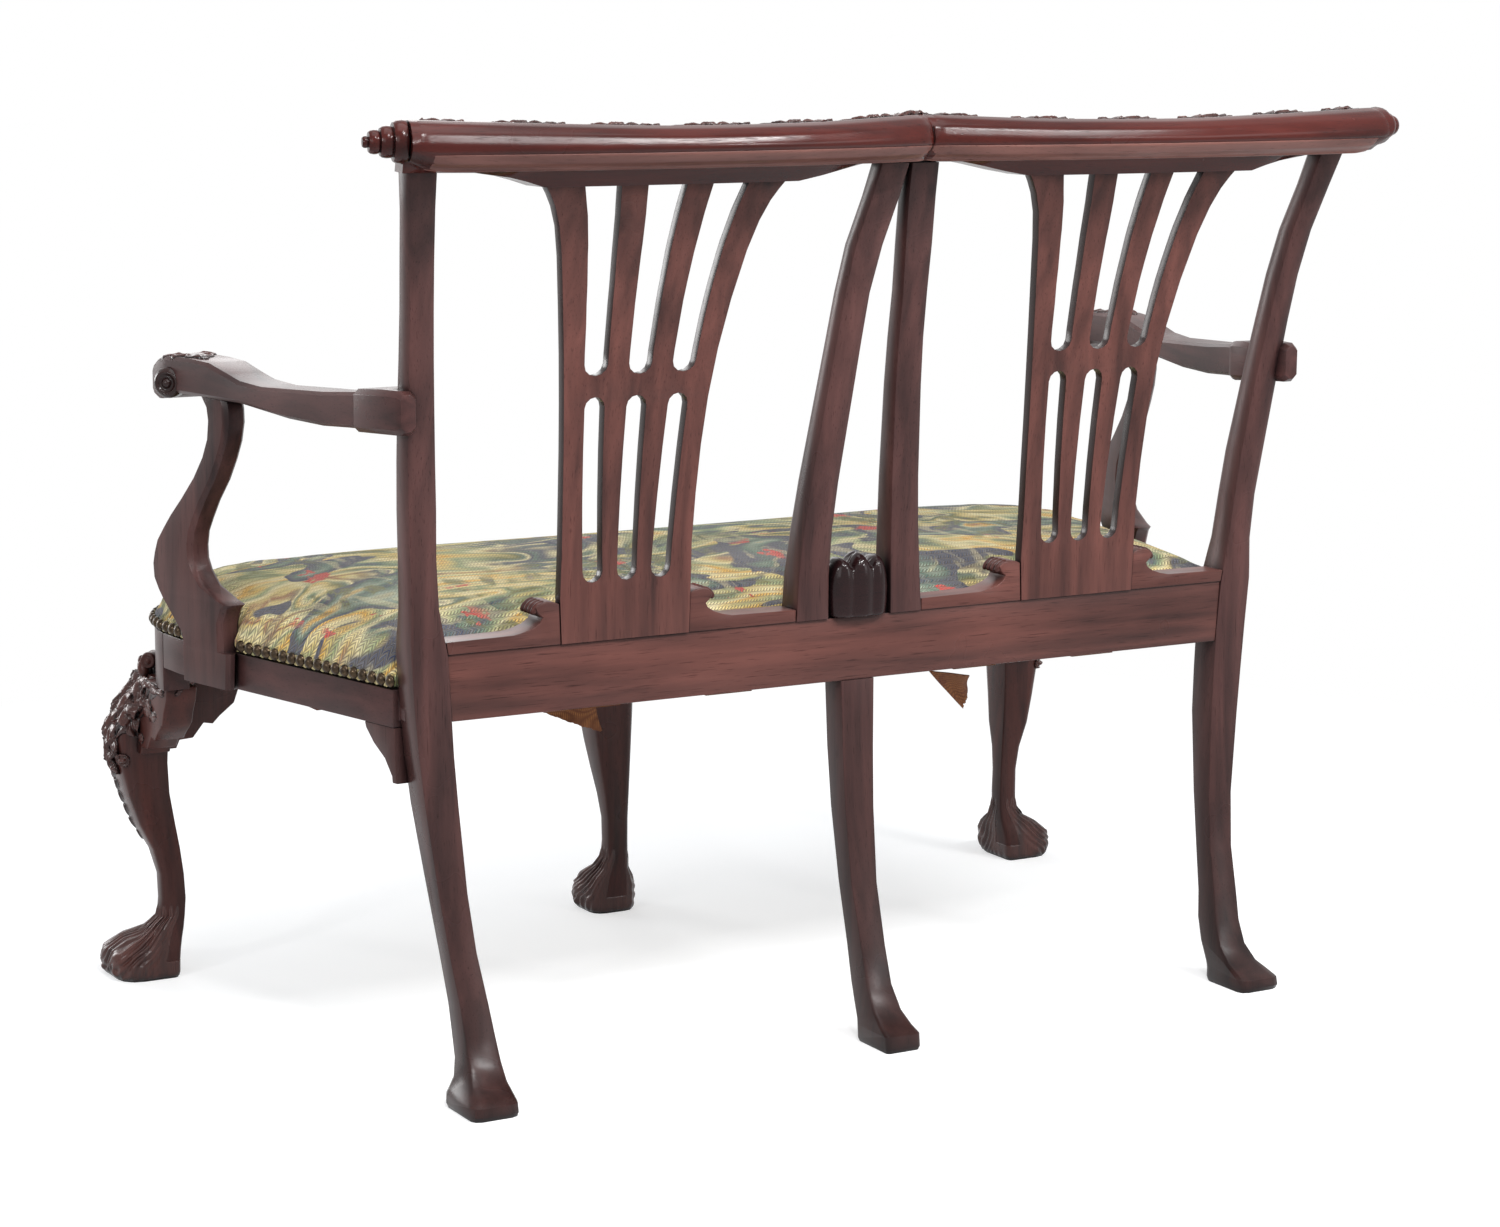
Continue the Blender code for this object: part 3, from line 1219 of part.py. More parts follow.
def crest_rail():
    """Crest rail rolled over to the back, bowed over each chair, with its mortises."""
    rail = loft("crest_rail", [crest_ring(x) for x in crest_stations()], MAHOGANY)
    for side in (1, -1):
        label = side_name(side)
        x0, x1, y0, y1, z0, z1 = stile_head_tenon(END_STILE_ROWS)
        mortise(rail, "crest_end_mortise_" + label, (side * x0, y0, z0), (side * x1, y1, z1))
        x0, x1, y0, y1, z0, z1 = stile_head_tenon(INNER_STILE_ROWS)
        mortise(rail, "crest_inner_mortise_" + label, (side * x0, y0, z0), (side * x1, y1, z1))
        for index, box in enumerate(splat_tenons()):
            x0, x1, y0, y1, z0, z1 = box
            name = "crest_splat_mortise_%s_%d" % (label, index)
            mortise(rail, name, (side * x0, y0, z0), (side * x1, y1, z1))
        cut_away(rail, turned("crest_ear_hole_" + label, side, ear_hole_profile()))
    return rail


def ear_hole_profile():
    """Profile of the round hole for an ear's dowel."""
    depth = EAR_DOWEL_LENGTH + MORTISE_EASE
    radius = EAR_DOWEL_RADIUS + MORTISE_EASE
    return [(-depth, radius), (EAR_DOWEL_LENGTH, radius)]


def turned(name, side, profile):
    """Solid of revolution about an ear's axis: rings of (distance, radius)."""
    slant = math.radians(CREST_END_ANGLE)
    base_x = CREST_END_X + end_slant(CREST_END_X, EAR_AXIS_Y)
    rings = []
    for distance, radius in profile:
        ring = []
        for step in range(EAR_TURN_STEPS):
            angle = 2 * math.pi * step / EAR_TURN_STEPS
            across = radius * math.cos(angle)
            x = base_x + distance * math.cos(slant) + across * math.sin(slant)
            y = EAR_AXIS_Y - distance * math.sin(slant) + across * math.cos(slant)
            ring.append((side * x, y, EAR_AXIS_Z + radius * math.sin(angle)))
        rings.append(ring)
    return loft(name, rings, MAHOGANY)


def crest_ear(side):
    """Turned ear of stepped rings on a crest rail end, with its dowel."""
    profile = [(-EAR_DOWEL_LENGTH, EAR_DOWEL_RADIUS), (FIT_GAP, EAR_DOWEL_RADIUS)]
    profile += [(FIT_GAP + distance, radius) for distance, radius in EAR_PROFILE]
    return turned("crest_ear_" + side_name(side), side, profile)


def arm_ring(row):
    """Section of an arm, upright across it, with eased edges."""
    y, outer, inner, top, low = row
    edge = min(ARM_EDGE, EDGE_share * (top - low), EDGE_share * (outer - inner))
    return [
        (outer, y, low + edge), (outer, y, top - edge),
        (outer - edge, y, top), (inner + edge, y, top),
        (inner, y, top - edge), (inner, y, low + edge),
        (inner + edge, y, low), (outer - edge, y, low),
    ]


def support_face_x(y):
    """X of the support's outer face at a place along y."""
    return SUPPORT_FACE_X + SUPPORT_SPLAY_share * (SUPPORT_FACE_Y - y)


def support_ring(row, grow):
    """Section of an arm support in plan, with eased corners, made larger by grow."""
    z, front, rear, thick = row
    front = front - grow
    rear = rear + grow
    edge = min(SUPPORT_EDGE, EDGE_share * thick)
    outer = support_face_x(0.0) + grow
    inner = outer - thick - 2 * grow
    splay = SUPPORT_SPLAY_share
    points = [
        (outer, rear - edge), (outer - edge, rear), (inner + edge, rear), (inner, rear - edge),
        (inner, front + edge), (inner + edge, front), (outer - edge, front), (outer, front + edge),
    ]
    return [(x - splay * y, y, z) for x, y in points]


def support_tenon():
    """Tenon box of an arm support into the arm: x, x, y, y, z, z."""
    middle = (SUPPORT_TENON_Y0 + SUPPORT_TENON_Y1) / 2
    face = support_face_x(middle)
    foot = SUPPORT_ROWS[-1][0]
    x0 = face - SUPPORT_TENON_INNER
    x1 = face - SUPPORT_TENON_OUTER
    return x0, x1, SUPPORT_TENON_Y0, SUPPORT_TENON_Y1, foot, foot + SUPPORT_TENON_HEIGHT


def tenon_ring_eight(x0, x1, y0, y1, z):
    """Eight points round a tenon box, in the order of a support's section."""
    ease = FIT_GAP
    return [
        (x1, y1 - ease, z), (x1 - ease, y1, z), (x0 + ease, y1, z), (x0, y1 - ease, z),
        (x0, y0 + ease, z), (x0 + ease, y0, z), (x1 - ease, y0, z), (x1, y0 + ease, z),
    ]


def arm_support(side):
    """S-shaped arm support, lapped over the outside of the side rail at its foot."""
    rings = [support_ring(row, 0.0) for row in SUPPORT_LAP_ROWS + SUPPORT_ROWS]
    x0, x1, y0, y1, z0, z1 = support_tenon()
    rings.append(tenon_ring_eight(x0, x1, y0, y1, z0))
    rings.append(tenon_ring_eight(x0, x1, y0, y1, z1))
    return loft("arm_support_" + side_name(side), [mirrored(side, ring) for ring in rings], MAHOGANY)


def arm(side):
    """Arm from its front scroll to the block that is notched round the end stile."""
    name = "arm_" + side_name(side)
    piece = loft(name, [mirrored(side, arm_ring(row)) for row in ARM_ROWS], MAHOGANY)
    between = [row[0] for row in END_STILE_ROWS if ARM_NOTCH_Z0 < row[0] < ARM_NOTCH_Z1]
    rings = [mirrored(side, notch_ring(z)) for z in (ARM_NOTCH_Z0, *between, ARM_NOTCH_Z1)]
    cut_away(piece, loft(name + "_notch", rings, MAHOGANY))
    x0, x1, y0, y1, z0, z1 = support_tenon()
    mortise(piece, name + "_mortise", (side * x0, y0, z0), (side * x1, y1, z1))
    return piece


def notch_ring(z):
    """Section of the end stile as its loft has it, made larger by the fitting gap."""
    rows = END_STILE_ROWS
    outer, inner, rear, front, radius = [straight_at(rows, z, column) for column in (1, 2, 3, 4, 5)]
    grow = FIT_GAP
    front_radius = min(radius, STILE_FRONT_CORNER_share * (rear - front))
    radii = (radius, radius, front_radius, front_radius)
    corners = (outer + grow, inner - grow, rear + grow, front - grow)
    return rounded_ring(*corners, z, radii, STILE_CORNER_STEPS)


def shoe(side, place):
    """Shoe piece beside a splat: place is +1 for its outer side, -1 for its inner side."""
    base_z = REAR_RAIL_Z1 + FIT_GAP
    top_z = SHOE_EDGE[0][1]
    foot_x = SPLAT_MIDDLE_X + place * (splat_half(SPLAT_BASE_Z) + FIT_GAP)
    head_x = SPLAT_MIDDLE_X + place * (splat_half(top_z) + FIT_GAP)
    outline = [(head_x, SHOE_REAR_Y, top_z)]
    outline += [(foot_x + place * distance, SHOE_REAR_Y, z) for distance, z in SHOE_EDGE[1:]]
    outline += [(shoe_stile_x(place, z), SHOE_REAR_Y, z) for z in (SHOE_LOW_Z, base_z)]
    outline.append((foot_x, SHOE_REAR_Y, base_z))
    offset = (0.0, SHOE_FRONT_Y - SHOE_REAR_Y, 0.0)
    name = "shoe_%s_%s" % (side_name(side), "outer" if place > 0 else "inner")
    return prism(name, mirrored(side, outline), offset, MAHOGANY)


def shoe_stile_x(place, z):
    """X of a shoe's end against the stile beside it."""
    if place > 0:
        return straight_at(END_STILE_ROWS, z, 2) - FIT_GAP
    return INNER_STILE_ROWS[0][1] + FIT_GAP


def carved_block():
    """Lobed block between the inner stiles, swelling to the back above a hollow."""
    left = [(x, z) for x, z in BLOCK_EDGE]
    right = [(-x, z) for x, z in BLOCK_EDGE[-2::-1]]
    rings = []
    for x, top in left + right:
        ring = [(x, rear, z) for z, rear in BLOCK_ROWS]
        ring.append((x, BLOCK_TOP_REAR_Y, top))
        ring.append((x, BLOCK_FRONT_Y, top))
        ring.append((x, BLOCK_FRONT_Y, BLOCK_ROWS[0][0]))
        rings.append(ring)
    return loft("carved_block", rings, MAHOGANY)


def seat_outline():
    """Plan of the seat frame's outer faces, anticlockwise from the left rear corner."""
    left = [(outer, y) for y, outer in side_rail_rows()[1:-1]]
    left = [(SIDE_RAIL_ROWS[0][1], SEAT_REAR_Y)] + left
    arc = corner_arc(CORNER_RADIUS, CORNER_ARC_STEPS)
    half = left + arc + [(CORNER_CENTRE_X / 2, FRONT_RAIL_OUTER_Y)]
    return half + [(-x, y) for x, y in half[::-1]]


def inset_ring(points, inset, z):
    """Outline moved inward by a distance, at a height; the rear edge stays in line."""
    count = len(points)
    ring = []
    for index, (x, y) in enumerate(points):
        before = Vector(points[index - 1])
        after = Vector(points[(index + 1) % count])
        if index == 0:
            before = Vector((x, y)) * 2 - after
        if index == count - 1:
            after = Vector((x, y)) * 2 - before
        along = (after - before).normalized()
        inward = Vector((along.y, -along.x))
        moved = Vector((x, y)) + inward * inset
        if index in (0, count - 1):
            moved = Vector((x + math.copysign(inset, -x), y - max(inset, 0.0)))
        ring.append((moved.x, min(moved.y, SEAT_REAR_Y), z))
    return ring


def toward_middle(ring, share, z):
    """Ring drawn toward the middle of the seat by a share of the way."""
    return [(x * (1 - share), y + (SEAT_MIDDLE_Y - y) * share, z) for x, y, old in ring]


def seat():
    """Stuffed seat: a plug between the rails, rounded edges on them and a crown."""
    outline = seat_outline()
    edge_z = SEAT_EDGE_ROWS[0][1]
    rings = [inset_ring(outline, SEAT_PLUG_INSET, z) for z in (SEAT_PLUG_Z0, edge_z)]
    rings += [inset_ring(outline, inset, z) for inset, z in SEAT_EDGE_ROWS]
    last = rings[-1]
    for share, z in zip(SEAT_CROWN_shares, SEAT_CROWN_ZS):
        rings.append(toward_middle(last, share, z))
    cushion = loft("stuffed_seat", rings, NEEDLEWORK)
    for side in (1, -1):
        rows = [row for row in SUPPORT_ROWS if row[0] < SEAT_POCKET_Z1]
        rings = [mirrored(side, pocket_ring(row)) for row in rows]
        first = [(x, y, SEAT_PLUG_Z0) for x, y, z in rings[0]]
        cut_away(cushion, loft("seat_pocket_" + side_name(side), [first] + rings, NEEDLEWORK))
    return cushion


def pocket_ring(row):
    """Section of the pocket for an arm support, open to the seat's side."""
    ring = support_ring(row, SEAT_POCKET_EASE)
    reach = SEAT_POCKET_REACH
    outward = [0, 1, 6, 7]
    return [(x + reach if index in outward else x, y, z) for index, (x, y, z) in enumerate(ring)]


def strap(name, stations, across):
    """Webbing strap through stations (x, y, z) on its upper face, half its width to each side."""
    half_x, half_y = across
    below = STRAP_THICKNESS
    rings = []
    for x, y, z in stations:
        low = (x - half_x, y - half_y)
        high = (x + half_x, y + half_y)
        rings.append([(*low, z), (*high, z), (*high, z - below), (*low, z - below)])
    return loft(name, rings, WEBBING)


def webbing():
    """Straps from rail to rail under the seat."""
    half = STRAP_WIDTH / 2
    rear_z = STRAP_REAR_Z - FIT_GAP
    rail_back = FRONT_RAIL_OUTER_Y + SEAT_RAIL_THICKNESS
    for index, x in enumerate(STRAP_LONG_XS):
        stations = [(x, STRAP_REAR_Y, rear_z), (x, REAR_RAIL_FRONT_Y, rear_z)]
        stations += [(x, rail_back, STRAP_FRONT_Z), (x, STRAP_FRONT_Y, STRAP_FRONT_Z)]
        strap("webbing_long_%d" % (index + 1), stations, (half, 0.0))
    for index, (y, reach) in enumerate(zip(STRAP_CROSS_YS, STRAP_CROSS_HALVES)):
        stations = [(-reach, y, STRAP_FRONT_Z), (reach, y, STRAP_FRONT_Z)]
        strap("webbing_cross_%d" % (index + 1), stations, (0.0, half))


def webbing_tail(side, path):
    """Loose end of a strap, hanging behind and below the rear rail."""
    half = TAIL_WIDTH / 2
    lean = TAIL_LEAN
    below = STRAP_THICKNESS
    rings = []
    for x, y, z in path:
        top = (x, y + lean, z)
        foot = (x, y - lean, z - half)
        rings.append([top, foot, (x, foot[1] - below, foot[2]), (x, top[1] - below, z)])
    return loft("webbing_tail_" + side_name(side), rings, WEBBING)


def centre_on_floor():
    """Move the finished settee so that its footprint is centred on the origin."""
    bpy.context.view_layer.update()
    shown = [thing for thing in bpy.data.objects if not thing.hide_render]
    ys = [corner[1] for thing in shown for corner in thing.bound_box]
    middle = (min(ys) + max(ys)) / 2
    for thing in bpy.data.objects:
        for vert in thing.data.vertices:
            vert.co.y -= middle


def build():
    """Make every piece of the settee."""
    clear_scene()
    rear_rail()
    rear_middle_leg()
    front_rail()
    front_middle_leg()
    crest_rail()
    carved_block()
    for side in (1, -1):
        end_stile(side)
        inner_stile(side)
        splat(side)
        shoe(side, 1)
        shoe(side, -1)
        crest_ear(side)
        side_rail(side)
        corner_block(side)
        front_leg(side)
        knee_bracket_front(side)
        knee_bracket_side(side)
        middle_bracket(side)
        rear_bracket(side)
        arm(side)
        arm_support(side)
    seat()
    webbing()
    webbing_tail(1, TAIL_LEFT)
    webbing_tail(-1, TAIL_RIGHT)
    centre_on_floor()


build()
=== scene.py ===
# %% [markdown]
# # A double chair-back settee
# The settee is a imported model of separate pieces, and this script dresses it: polished
# mahogany with carving, a stuffed seat in needlework, brass nails and jute webbing. The
# imported pieces give every size and place. First they are loaded.

# %% Load the imported pieces
import math

import bmesh
import bpy
from mathutils import Matrix, Vector, noise
from mathutils.bvhtree import BVHTree


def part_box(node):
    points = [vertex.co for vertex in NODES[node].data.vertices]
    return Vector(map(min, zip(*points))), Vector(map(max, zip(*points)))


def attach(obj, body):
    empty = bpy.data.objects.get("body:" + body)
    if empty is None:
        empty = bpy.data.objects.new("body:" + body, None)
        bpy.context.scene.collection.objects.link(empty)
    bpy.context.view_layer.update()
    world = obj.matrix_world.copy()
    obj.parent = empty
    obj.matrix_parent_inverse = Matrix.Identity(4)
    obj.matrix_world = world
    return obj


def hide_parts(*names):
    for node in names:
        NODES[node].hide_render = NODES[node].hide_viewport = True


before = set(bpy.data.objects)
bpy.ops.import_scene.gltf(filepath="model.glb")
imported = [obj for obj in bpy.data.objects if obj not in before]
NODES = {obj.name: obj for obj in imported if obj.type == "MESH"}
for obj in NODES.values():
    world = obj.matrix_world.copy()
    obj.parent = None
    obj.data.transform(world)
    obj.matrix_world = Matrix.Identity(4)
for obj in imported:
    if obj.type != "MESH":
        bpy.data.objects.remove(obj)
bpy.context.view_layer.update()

SHIFT_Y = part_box("rear_seat_rail")[1].y
print("packed pieces", len(NODES), "rear face of the rear rail at y", round(SHIFT_Y, 4))

# %% [markdown]
# The photograph was taken from behind the settee's right-hand side with a long lens, a
# little above the crest rail. A long lens keeps upright lines nearly parallel, so the
# camera stands far back. Its place and turn were found from corners whose real places are
# known, and are written here as a place, three angles and a lens length.

# %% Camera at the photograph's angle
CAMERA_X, CAMERA_FROM_RAIL, CAMERA_Z = 1.9419, 3.1184, 1.1071
CAMERA_HEADING, CAMERA_DIP, CAMERA_ROLL = -120.1187, 10.0756, 0.4287
camera = bpy.data.objects.new("camera", bpy.data.cameras.new("camera"))
bpy.context.scene.collection.objects.link(camera)
camera.data.sensor_width = 36.0
camera.data.lens = 84.347
camera.data.clip_end = 60.0
camera.location = (CAMERA_X, CAMERA_FROM_RAIL + SHIFT_Y, CAMERA_Z)
heading = Matrix.Rotation(math.radians(CAMERA_HEADING - 90.0), 3, "Z")
tilt = Matrix.Rotation(math.radians(90.0 - CAMERA_DIP), 3, "X")
roll = Matrix.Rotation(math.radians(CAMERA_ROLL), 3, "Z")
camera.rotation_euler = (heading @ tilt @ roll).to_euler()
bpy.context.scene.camera = camera
print("camera looks along", [round(v, 4) for v in (heading @ tilt @ roll) @ Vector((0, 0, -1))])

# %% [markdown]
# Every material is a tree of nodes, so a few small functions build the trees. One adds a
# node and one feeds a socket. The others start a group or a material, do arithmetic, and
# stretch a value to a range.

# %% Nodes, groups and values
def add_node(tree, kind, **settings):
    """A node of a kind, with plain settings given by name."""
    node = tree.nodes.new(kind)
    for key, value in settings.items():
        setattr(node, key, value)
    return node


def feed(tree, given, socket):
    """Link a socket to another, or set it to a number, a vector or a colour."""
    if isinstance(given, bpy.types.NodeSocket):
        tree.links.new(given, socket)
    elif socket.type == "RGBA":
        socket.default_value = (*given, 1.0)
    else:
        socket.default_value = given


def value_node(tree, operation, *given):
    """A math node on numbers or sockets."""
    node = add_node(tree, "ShaderNodeMath", operation=operation)
    for value, socket in zip(given, node.inputs):
        feed(tree, value, socket)
    return node.outputs[0]


def ramp(tree, value, low, high, start=0.0, end=1.0):
    """A value stretched so that low becomes the start and high becomes the end."""
    node = add_node(tree, "ShaderNodeMapRange")
    for given, socket in zip((value, low, high, start, end), node.inputs):
        feed(tree, given, socket)
    return node.outputs[0]


def new_group(name, inputs, outputs):
    """A shader node group with named sockets, and its input and output nodes."""
    group = bpy.data.node_groups.new(name, "ShaderNodeTree")
    for label, kind in inputs:
        group.interface.new_socket(label, in_out="INPUT", socket_type=kind)
    for label, kind in outputs:
        group.interface.new_socket(label, in_out="OUTPUT", socket_type=kind)
    return group, group.nodes.new("NodeGroupInput"), group.nodes.new("NodeGroupOutput")


def new_look(name):
    """A new material with its tree, its main shader and the object's own coordinates."""
    look = bpy.data.materials.new(name)
    look.use_nodes = True
    tree = look.node_tree
    place = add_node(tree, "ShaderNodeTexCoord").outputs["Object"]
    return look, tree, tree.nodes["Principled BSDF"], place


print("tools for nodes, groups and values ready")

# %% [markdown]
# The next functions make noise that is stretched along the grain, mix colours or shaders,
# tell the rays that see the object from those that light it, and press a height into a
# surface.

# %% Noise, mixes and relief
def scaled_noise(tree, vector, scale, texture_scale, detail, distortion=0.0):
    """Noise on a vector stretched by three scales: short across the grain, long along it."""
    mapping = add_node(tree, "ShaderNodeMapping")
    feed(tree, scale, mapping.inputs["Scale"])
    feed(tree, vector, mapping.inputs["Vector"])
    texture = add_node(tree, "ShaderNodeTexNoise")
    feed(tree, mapping.outputs[0], texture.inputs["Vector"])
    for label, value in (("Scale", texture_scale), ("Detail", detail), ("Distortion", distortion)):
        feed(tree, value, texture.inputs[label])
    return texture.outputs["Fac"]


def mixed(tree, factor, first, second, blend="MIX"):
    """Two colours mixed by a factor."""
    node = add_node(tree, "ShaderNodeMix", data_type="RGBA", blend_type=blend)
    for index, given in ((0, factor), (6, first), (7, second)):
        feed(tree, given, node.inputs[index])
    return node.outputs[2]


def mix_shaders(tree, factor, first, second):
    """The first shader where the factor is 0, and the second where it is 1."""
    blend = add_node(tree, "ShaderNodeMixShader")
    for given, socket in zip((factor, first, second), blend.inputs):
        feed(tree, given, socket)
    return blend.outputs[0]


def seen_rays(tree):
    """1 for camera, glossy and transmission rays, and 0 for the rays that light the object."""
    path = add_node(tree, "ShaderNodeLightPath")
    seen = path.outputs["Is Camera Ray"]
    for label in ("Is Glossy Ray", "Is Transmission Ray"):
        seen = value_node(tree, "MAXIMUM", seen, path.outputs[label])
    return seen


def press(tree, shader, height, strength, distance, invert=True):
    """Press a height into a shader's surface, or raise it."""
    bump = add_node(tree, "ShaderNodeBump", invert=invert)
    for label, given in (("Strength", strength), ("Distance", distance), ("Height", height)):
        feed(tree, given, bump.inputs[label])
    feed(tree, bump.outputs[0], shader.inputs["Normal"])


print("tools for noise, mixes and relief ready")

# %% [markdown]
# Polished wood needs something to reflect. Large soft lamps overhead, behind and in front
# light the settee as a studio does. A long narrow strip draws a bright line along the crest
# rail, and three small strong lamps give glints. The floor is a pale plane that takes a
# faint shadow. Camera rays see a white world, so that the background stays plain.

# %% Floor, world and lamps
def soft_lamp(name, place, target, size, power, depth=None):
    """A rectangular area lamp at a place, turned to face a target; square without a depth."""
    lamp = bpy.data.objects.new(name, bpy.data.lights.new(name, "AREA"))
    lamp.data.shape = "RECTANGLE"
    lamp.data.size = size
    lamp.data.size_y = depth or size
    lamp.data.energy = power
    lamp.location = place
    lamp.rotation_euler = (Vector(target) - Vector(place)).to_track_quat("-Z", "Y").to_euler()
    bpy.context.scene.collection.objects.link(lamp)


world = bpy.data.worlds.new("studio")
bpy.context.scene.world = world
world.use_nodes = True
sky = world.node_tree
fill = sky.nodes["Background"]
feed(sky, (0.80, 0.86, 0.92), fill.inputs["Color"])
feed(sky, 0.50, fill.inputs["Strength"])
white = add_node(sky, "ShaderNodeBackground")
feed(sky, (1.0, 1.0, 1.0), white.inputs["Color"])
shown_sky = mix_shaders(sky, seen_rays(sky), fill.outputs[0], white.outputs[0])
feed(sky, shown_sky, sky.nodes["World Output"].inputs["Surface"])

soft_lamp("lamp_over", (0.4, 0.6, 3.2), (0.0, 0.1, 0.5), 2.2, 36.0)
soft_lamp("lamp_rear_left", (3.4, 2.4, 1.9), (0.2, 0.2, 0.55), 1.7, 20.0)
soft_lamp("lamp_rear_right", (-2.8, 3.4, 1.6), (0.0, 0.2, 0.5), 1.4, 18.0)
soft_lamp("lamp_front", (-0.6, -3.6, 2.2), (0.0, 0.0, 0.5), 1.8, 22.0)
soft_lamp("lamp_front_left", (1.75, -2.9, 1.1), (0.3, 0.1, 0.55), 1.1, 30.0)
soft_lamp("strip_crest", (-0.9, 2.4, 2.75), (0.0, 0.3, 0.9), 1.9, 84.0, depth=0.06)
soft_lamp("spark_over", (0.7, 1.9, 2.6), (0.0, 0.2, 0.6), 0.26, 30.0)
soft_lamp("spark_left", (3.2, 0.9, 1.7), (0.3, 0.1, 0.5), 0.20, 17.0)
soft_lamp("spark_right", (-1.6, 2.9, 2.0), (0.0, 0.2, 0.5), 0.18, 15.0)

FLOOR_SHADE = 0.55
FLOOR_GLOW = 0.56
FLOOR_FADE = (0.9, 1.9)
plane = bmesh.new()
bmesh.ops.create_grid(plane, x_segments=1, y_segments=1, size=9.0)
floor_mesh = bpy.data.meshes.new("floor")
plane.to_mesh(floor_mesh)
plane.free()
floor = bpy.data.objects.new("floor", floor_mesh)
bpy.context.scene.collection.objects.link(floor)
floor_look, tree, shader, place = new_look("pale_floor")
feed(tree, (0.50, 0.50, 0.51), shader.inputs["Base Color"])
feed(tree, 0.6, shader.inputs["Roughness"])
shaded = add_node(tree, "ShaderNodeBsdfDiffuse")
feed(tree, (FLOOR_SHADE, FLOOR_SHADE, FLOOR_SHADE), shaded.inputs["Color"])
glow = add_node(tree, "ShaderNodeEmission")
feed(tree, FLOOR_GLOW, glow.inputs["Strength"])
near = add_node(tree, "ShaderNodeAddShader")
feed(tree, shaded.outputs[0], near.inputs[0])
feed(tree, glow.outputs[0], near.inputs[1])
plain = add_node(tree, "ShaderNodeEmission")
reach = add_node(tree, "ShaderNodeVectorMath", operation="LENGTH")
feed(tree, place, reach.inputs[0])
away = ramp(tree, reach.outputs["Value"], *FLOOR_FADE)
shown_floor = mix_shaders(tree, away, near.outputs[0], plain.outputs[0])
surface = mix_shaders(tree, seen_rays(tree), shader.outputs[0], shown_floor)
feed(tree, surface, tree.nodes["Material Output"].inputs["Surface"])
floor.data.materials.append(floor_look)
bpy.context.scene.view_settings.view_transform = "Standard"

# %% [markdown]
# Mahogany is red-brown with long fine pores and broad soft stripes that follow the grain.
# One shader group makes that figure in a space whose x runs along the grain, so each piece
# only turns the space to its own grain. The group gives a tone and a pore mask.

# %% The grain group
grain_group, grain_in, grain_out = new_group(
    "wood_grain",
    [("Vector", "NodeSocketVector")],
    [("Tone", "NodeSocketFloat"), ("Pores", "NodeSocketFloat")],
)
grain_space = grain_in.outputs["Vector"]
stripes = ramp(grain_group, scaled_noise(grain_group, grain_space, (0.6, 9.0, 9.0), 6.0, 4.0, 0.4), 0.32, 0.68)
clouds = ramp(grain_group, scaled_noise(grain_group, grain_space, (1.0, 2.2, 2.2), 4.0, 3.0), 0.30, 0.70)
tone = add_node(grain_group, "ShaderNodeMix", data_type="FLOAT")
for index, given in ((0, 0.45), (2, stripes), (3, clouds)):
    feed(grain_group, given, tone.inputs[index])
feed(grain_group, tone.outputs[0], grain_out.inputs["Tone"])
pores = ramp(grain_group, scaled_noise(grain_group, grain_space, (1.0, 26.0, 26.0), 34.0, 2.0), 0.60, 0.74)
feed(grain_group, pores, grain_out.inputs["Pores"])
print("grain group sockets", [item.name for item in grain_group.interface.items_tree])

# %% [markdown]
# Old polish collects in hollows and is never quite even. A second group makes a hollow mask
# from ambient occlusion, which finds what is enclosed within 20 mm; the wood is darkened
# there as painted shade, which also stands for old polish. A slow smear makes the gloss uneven.

# %% The wear and shade group
HOLLOW_REACH = 0.02
wear_and_shade_group, wear_and_shade_in, wear_and_shade_out = new_group(
    "polish_wear_and_shade",
    [("Vector", "NodeSocketVector")],
    [("Hollow", "NodeSocketFloat"), ("Smear", "NodeSocketFloat")],
)
occlusion = add_node(wear_and_shade_group, "ShaderNodeAmbientOcclusion", samples=6)
feed(wear_and_shade_group, HOLLOW_REACH, occlusion.inputs["Distance"])
# Enclosed places are marked for darkening: painted shade, which also stands for old polish.
feed(wear_and_shade_group, ramp(wear_and_shade_group, occlusion.outputs["AO"], 0.85, 0.25), wear_and_shade_out.inputs["Hollow"])
slow = scaled_noise(wear_and_shade_group, wear_and_shade_in.outputs["Vector"], (1.0, 1.0, 1.0), 9.0, 3.0)
feed(wear_and_shade_group, ramp(wear_and_shade_group, slow, 0.30, 0.70), wear_and_shade_out.inputs["Smear"])
print("wear group sockets", [item.name for item in wear_and_shade_group.interface.items_tree])

# %% [markdown]
# Each mahogany piece has its grain along its length: upright in stiles and legs, along the
# settee in the rails, and front to back in the side rails and arms. One recipe is built
# again for each turn and tone. Legs and stiles darken towards the floor. Hollows are
# darkened as painted shade, which also stands for old polish, and carving gets more painted
# shade in its low parts. The crest rail is the reddest.

# %% The mahogany materials
PORE_SHADE = (0.45, 0.38, 0.36)
# The colour that hollows are darkened towards: partly old polish, partly painted shade.
GRIME_AND_SHADE = (0.006, 0.004, 0.0045)
FOOT_LOW, FOOT_HIGH = 0.04, 0.44
SMEAR_GLOSS = 0.16


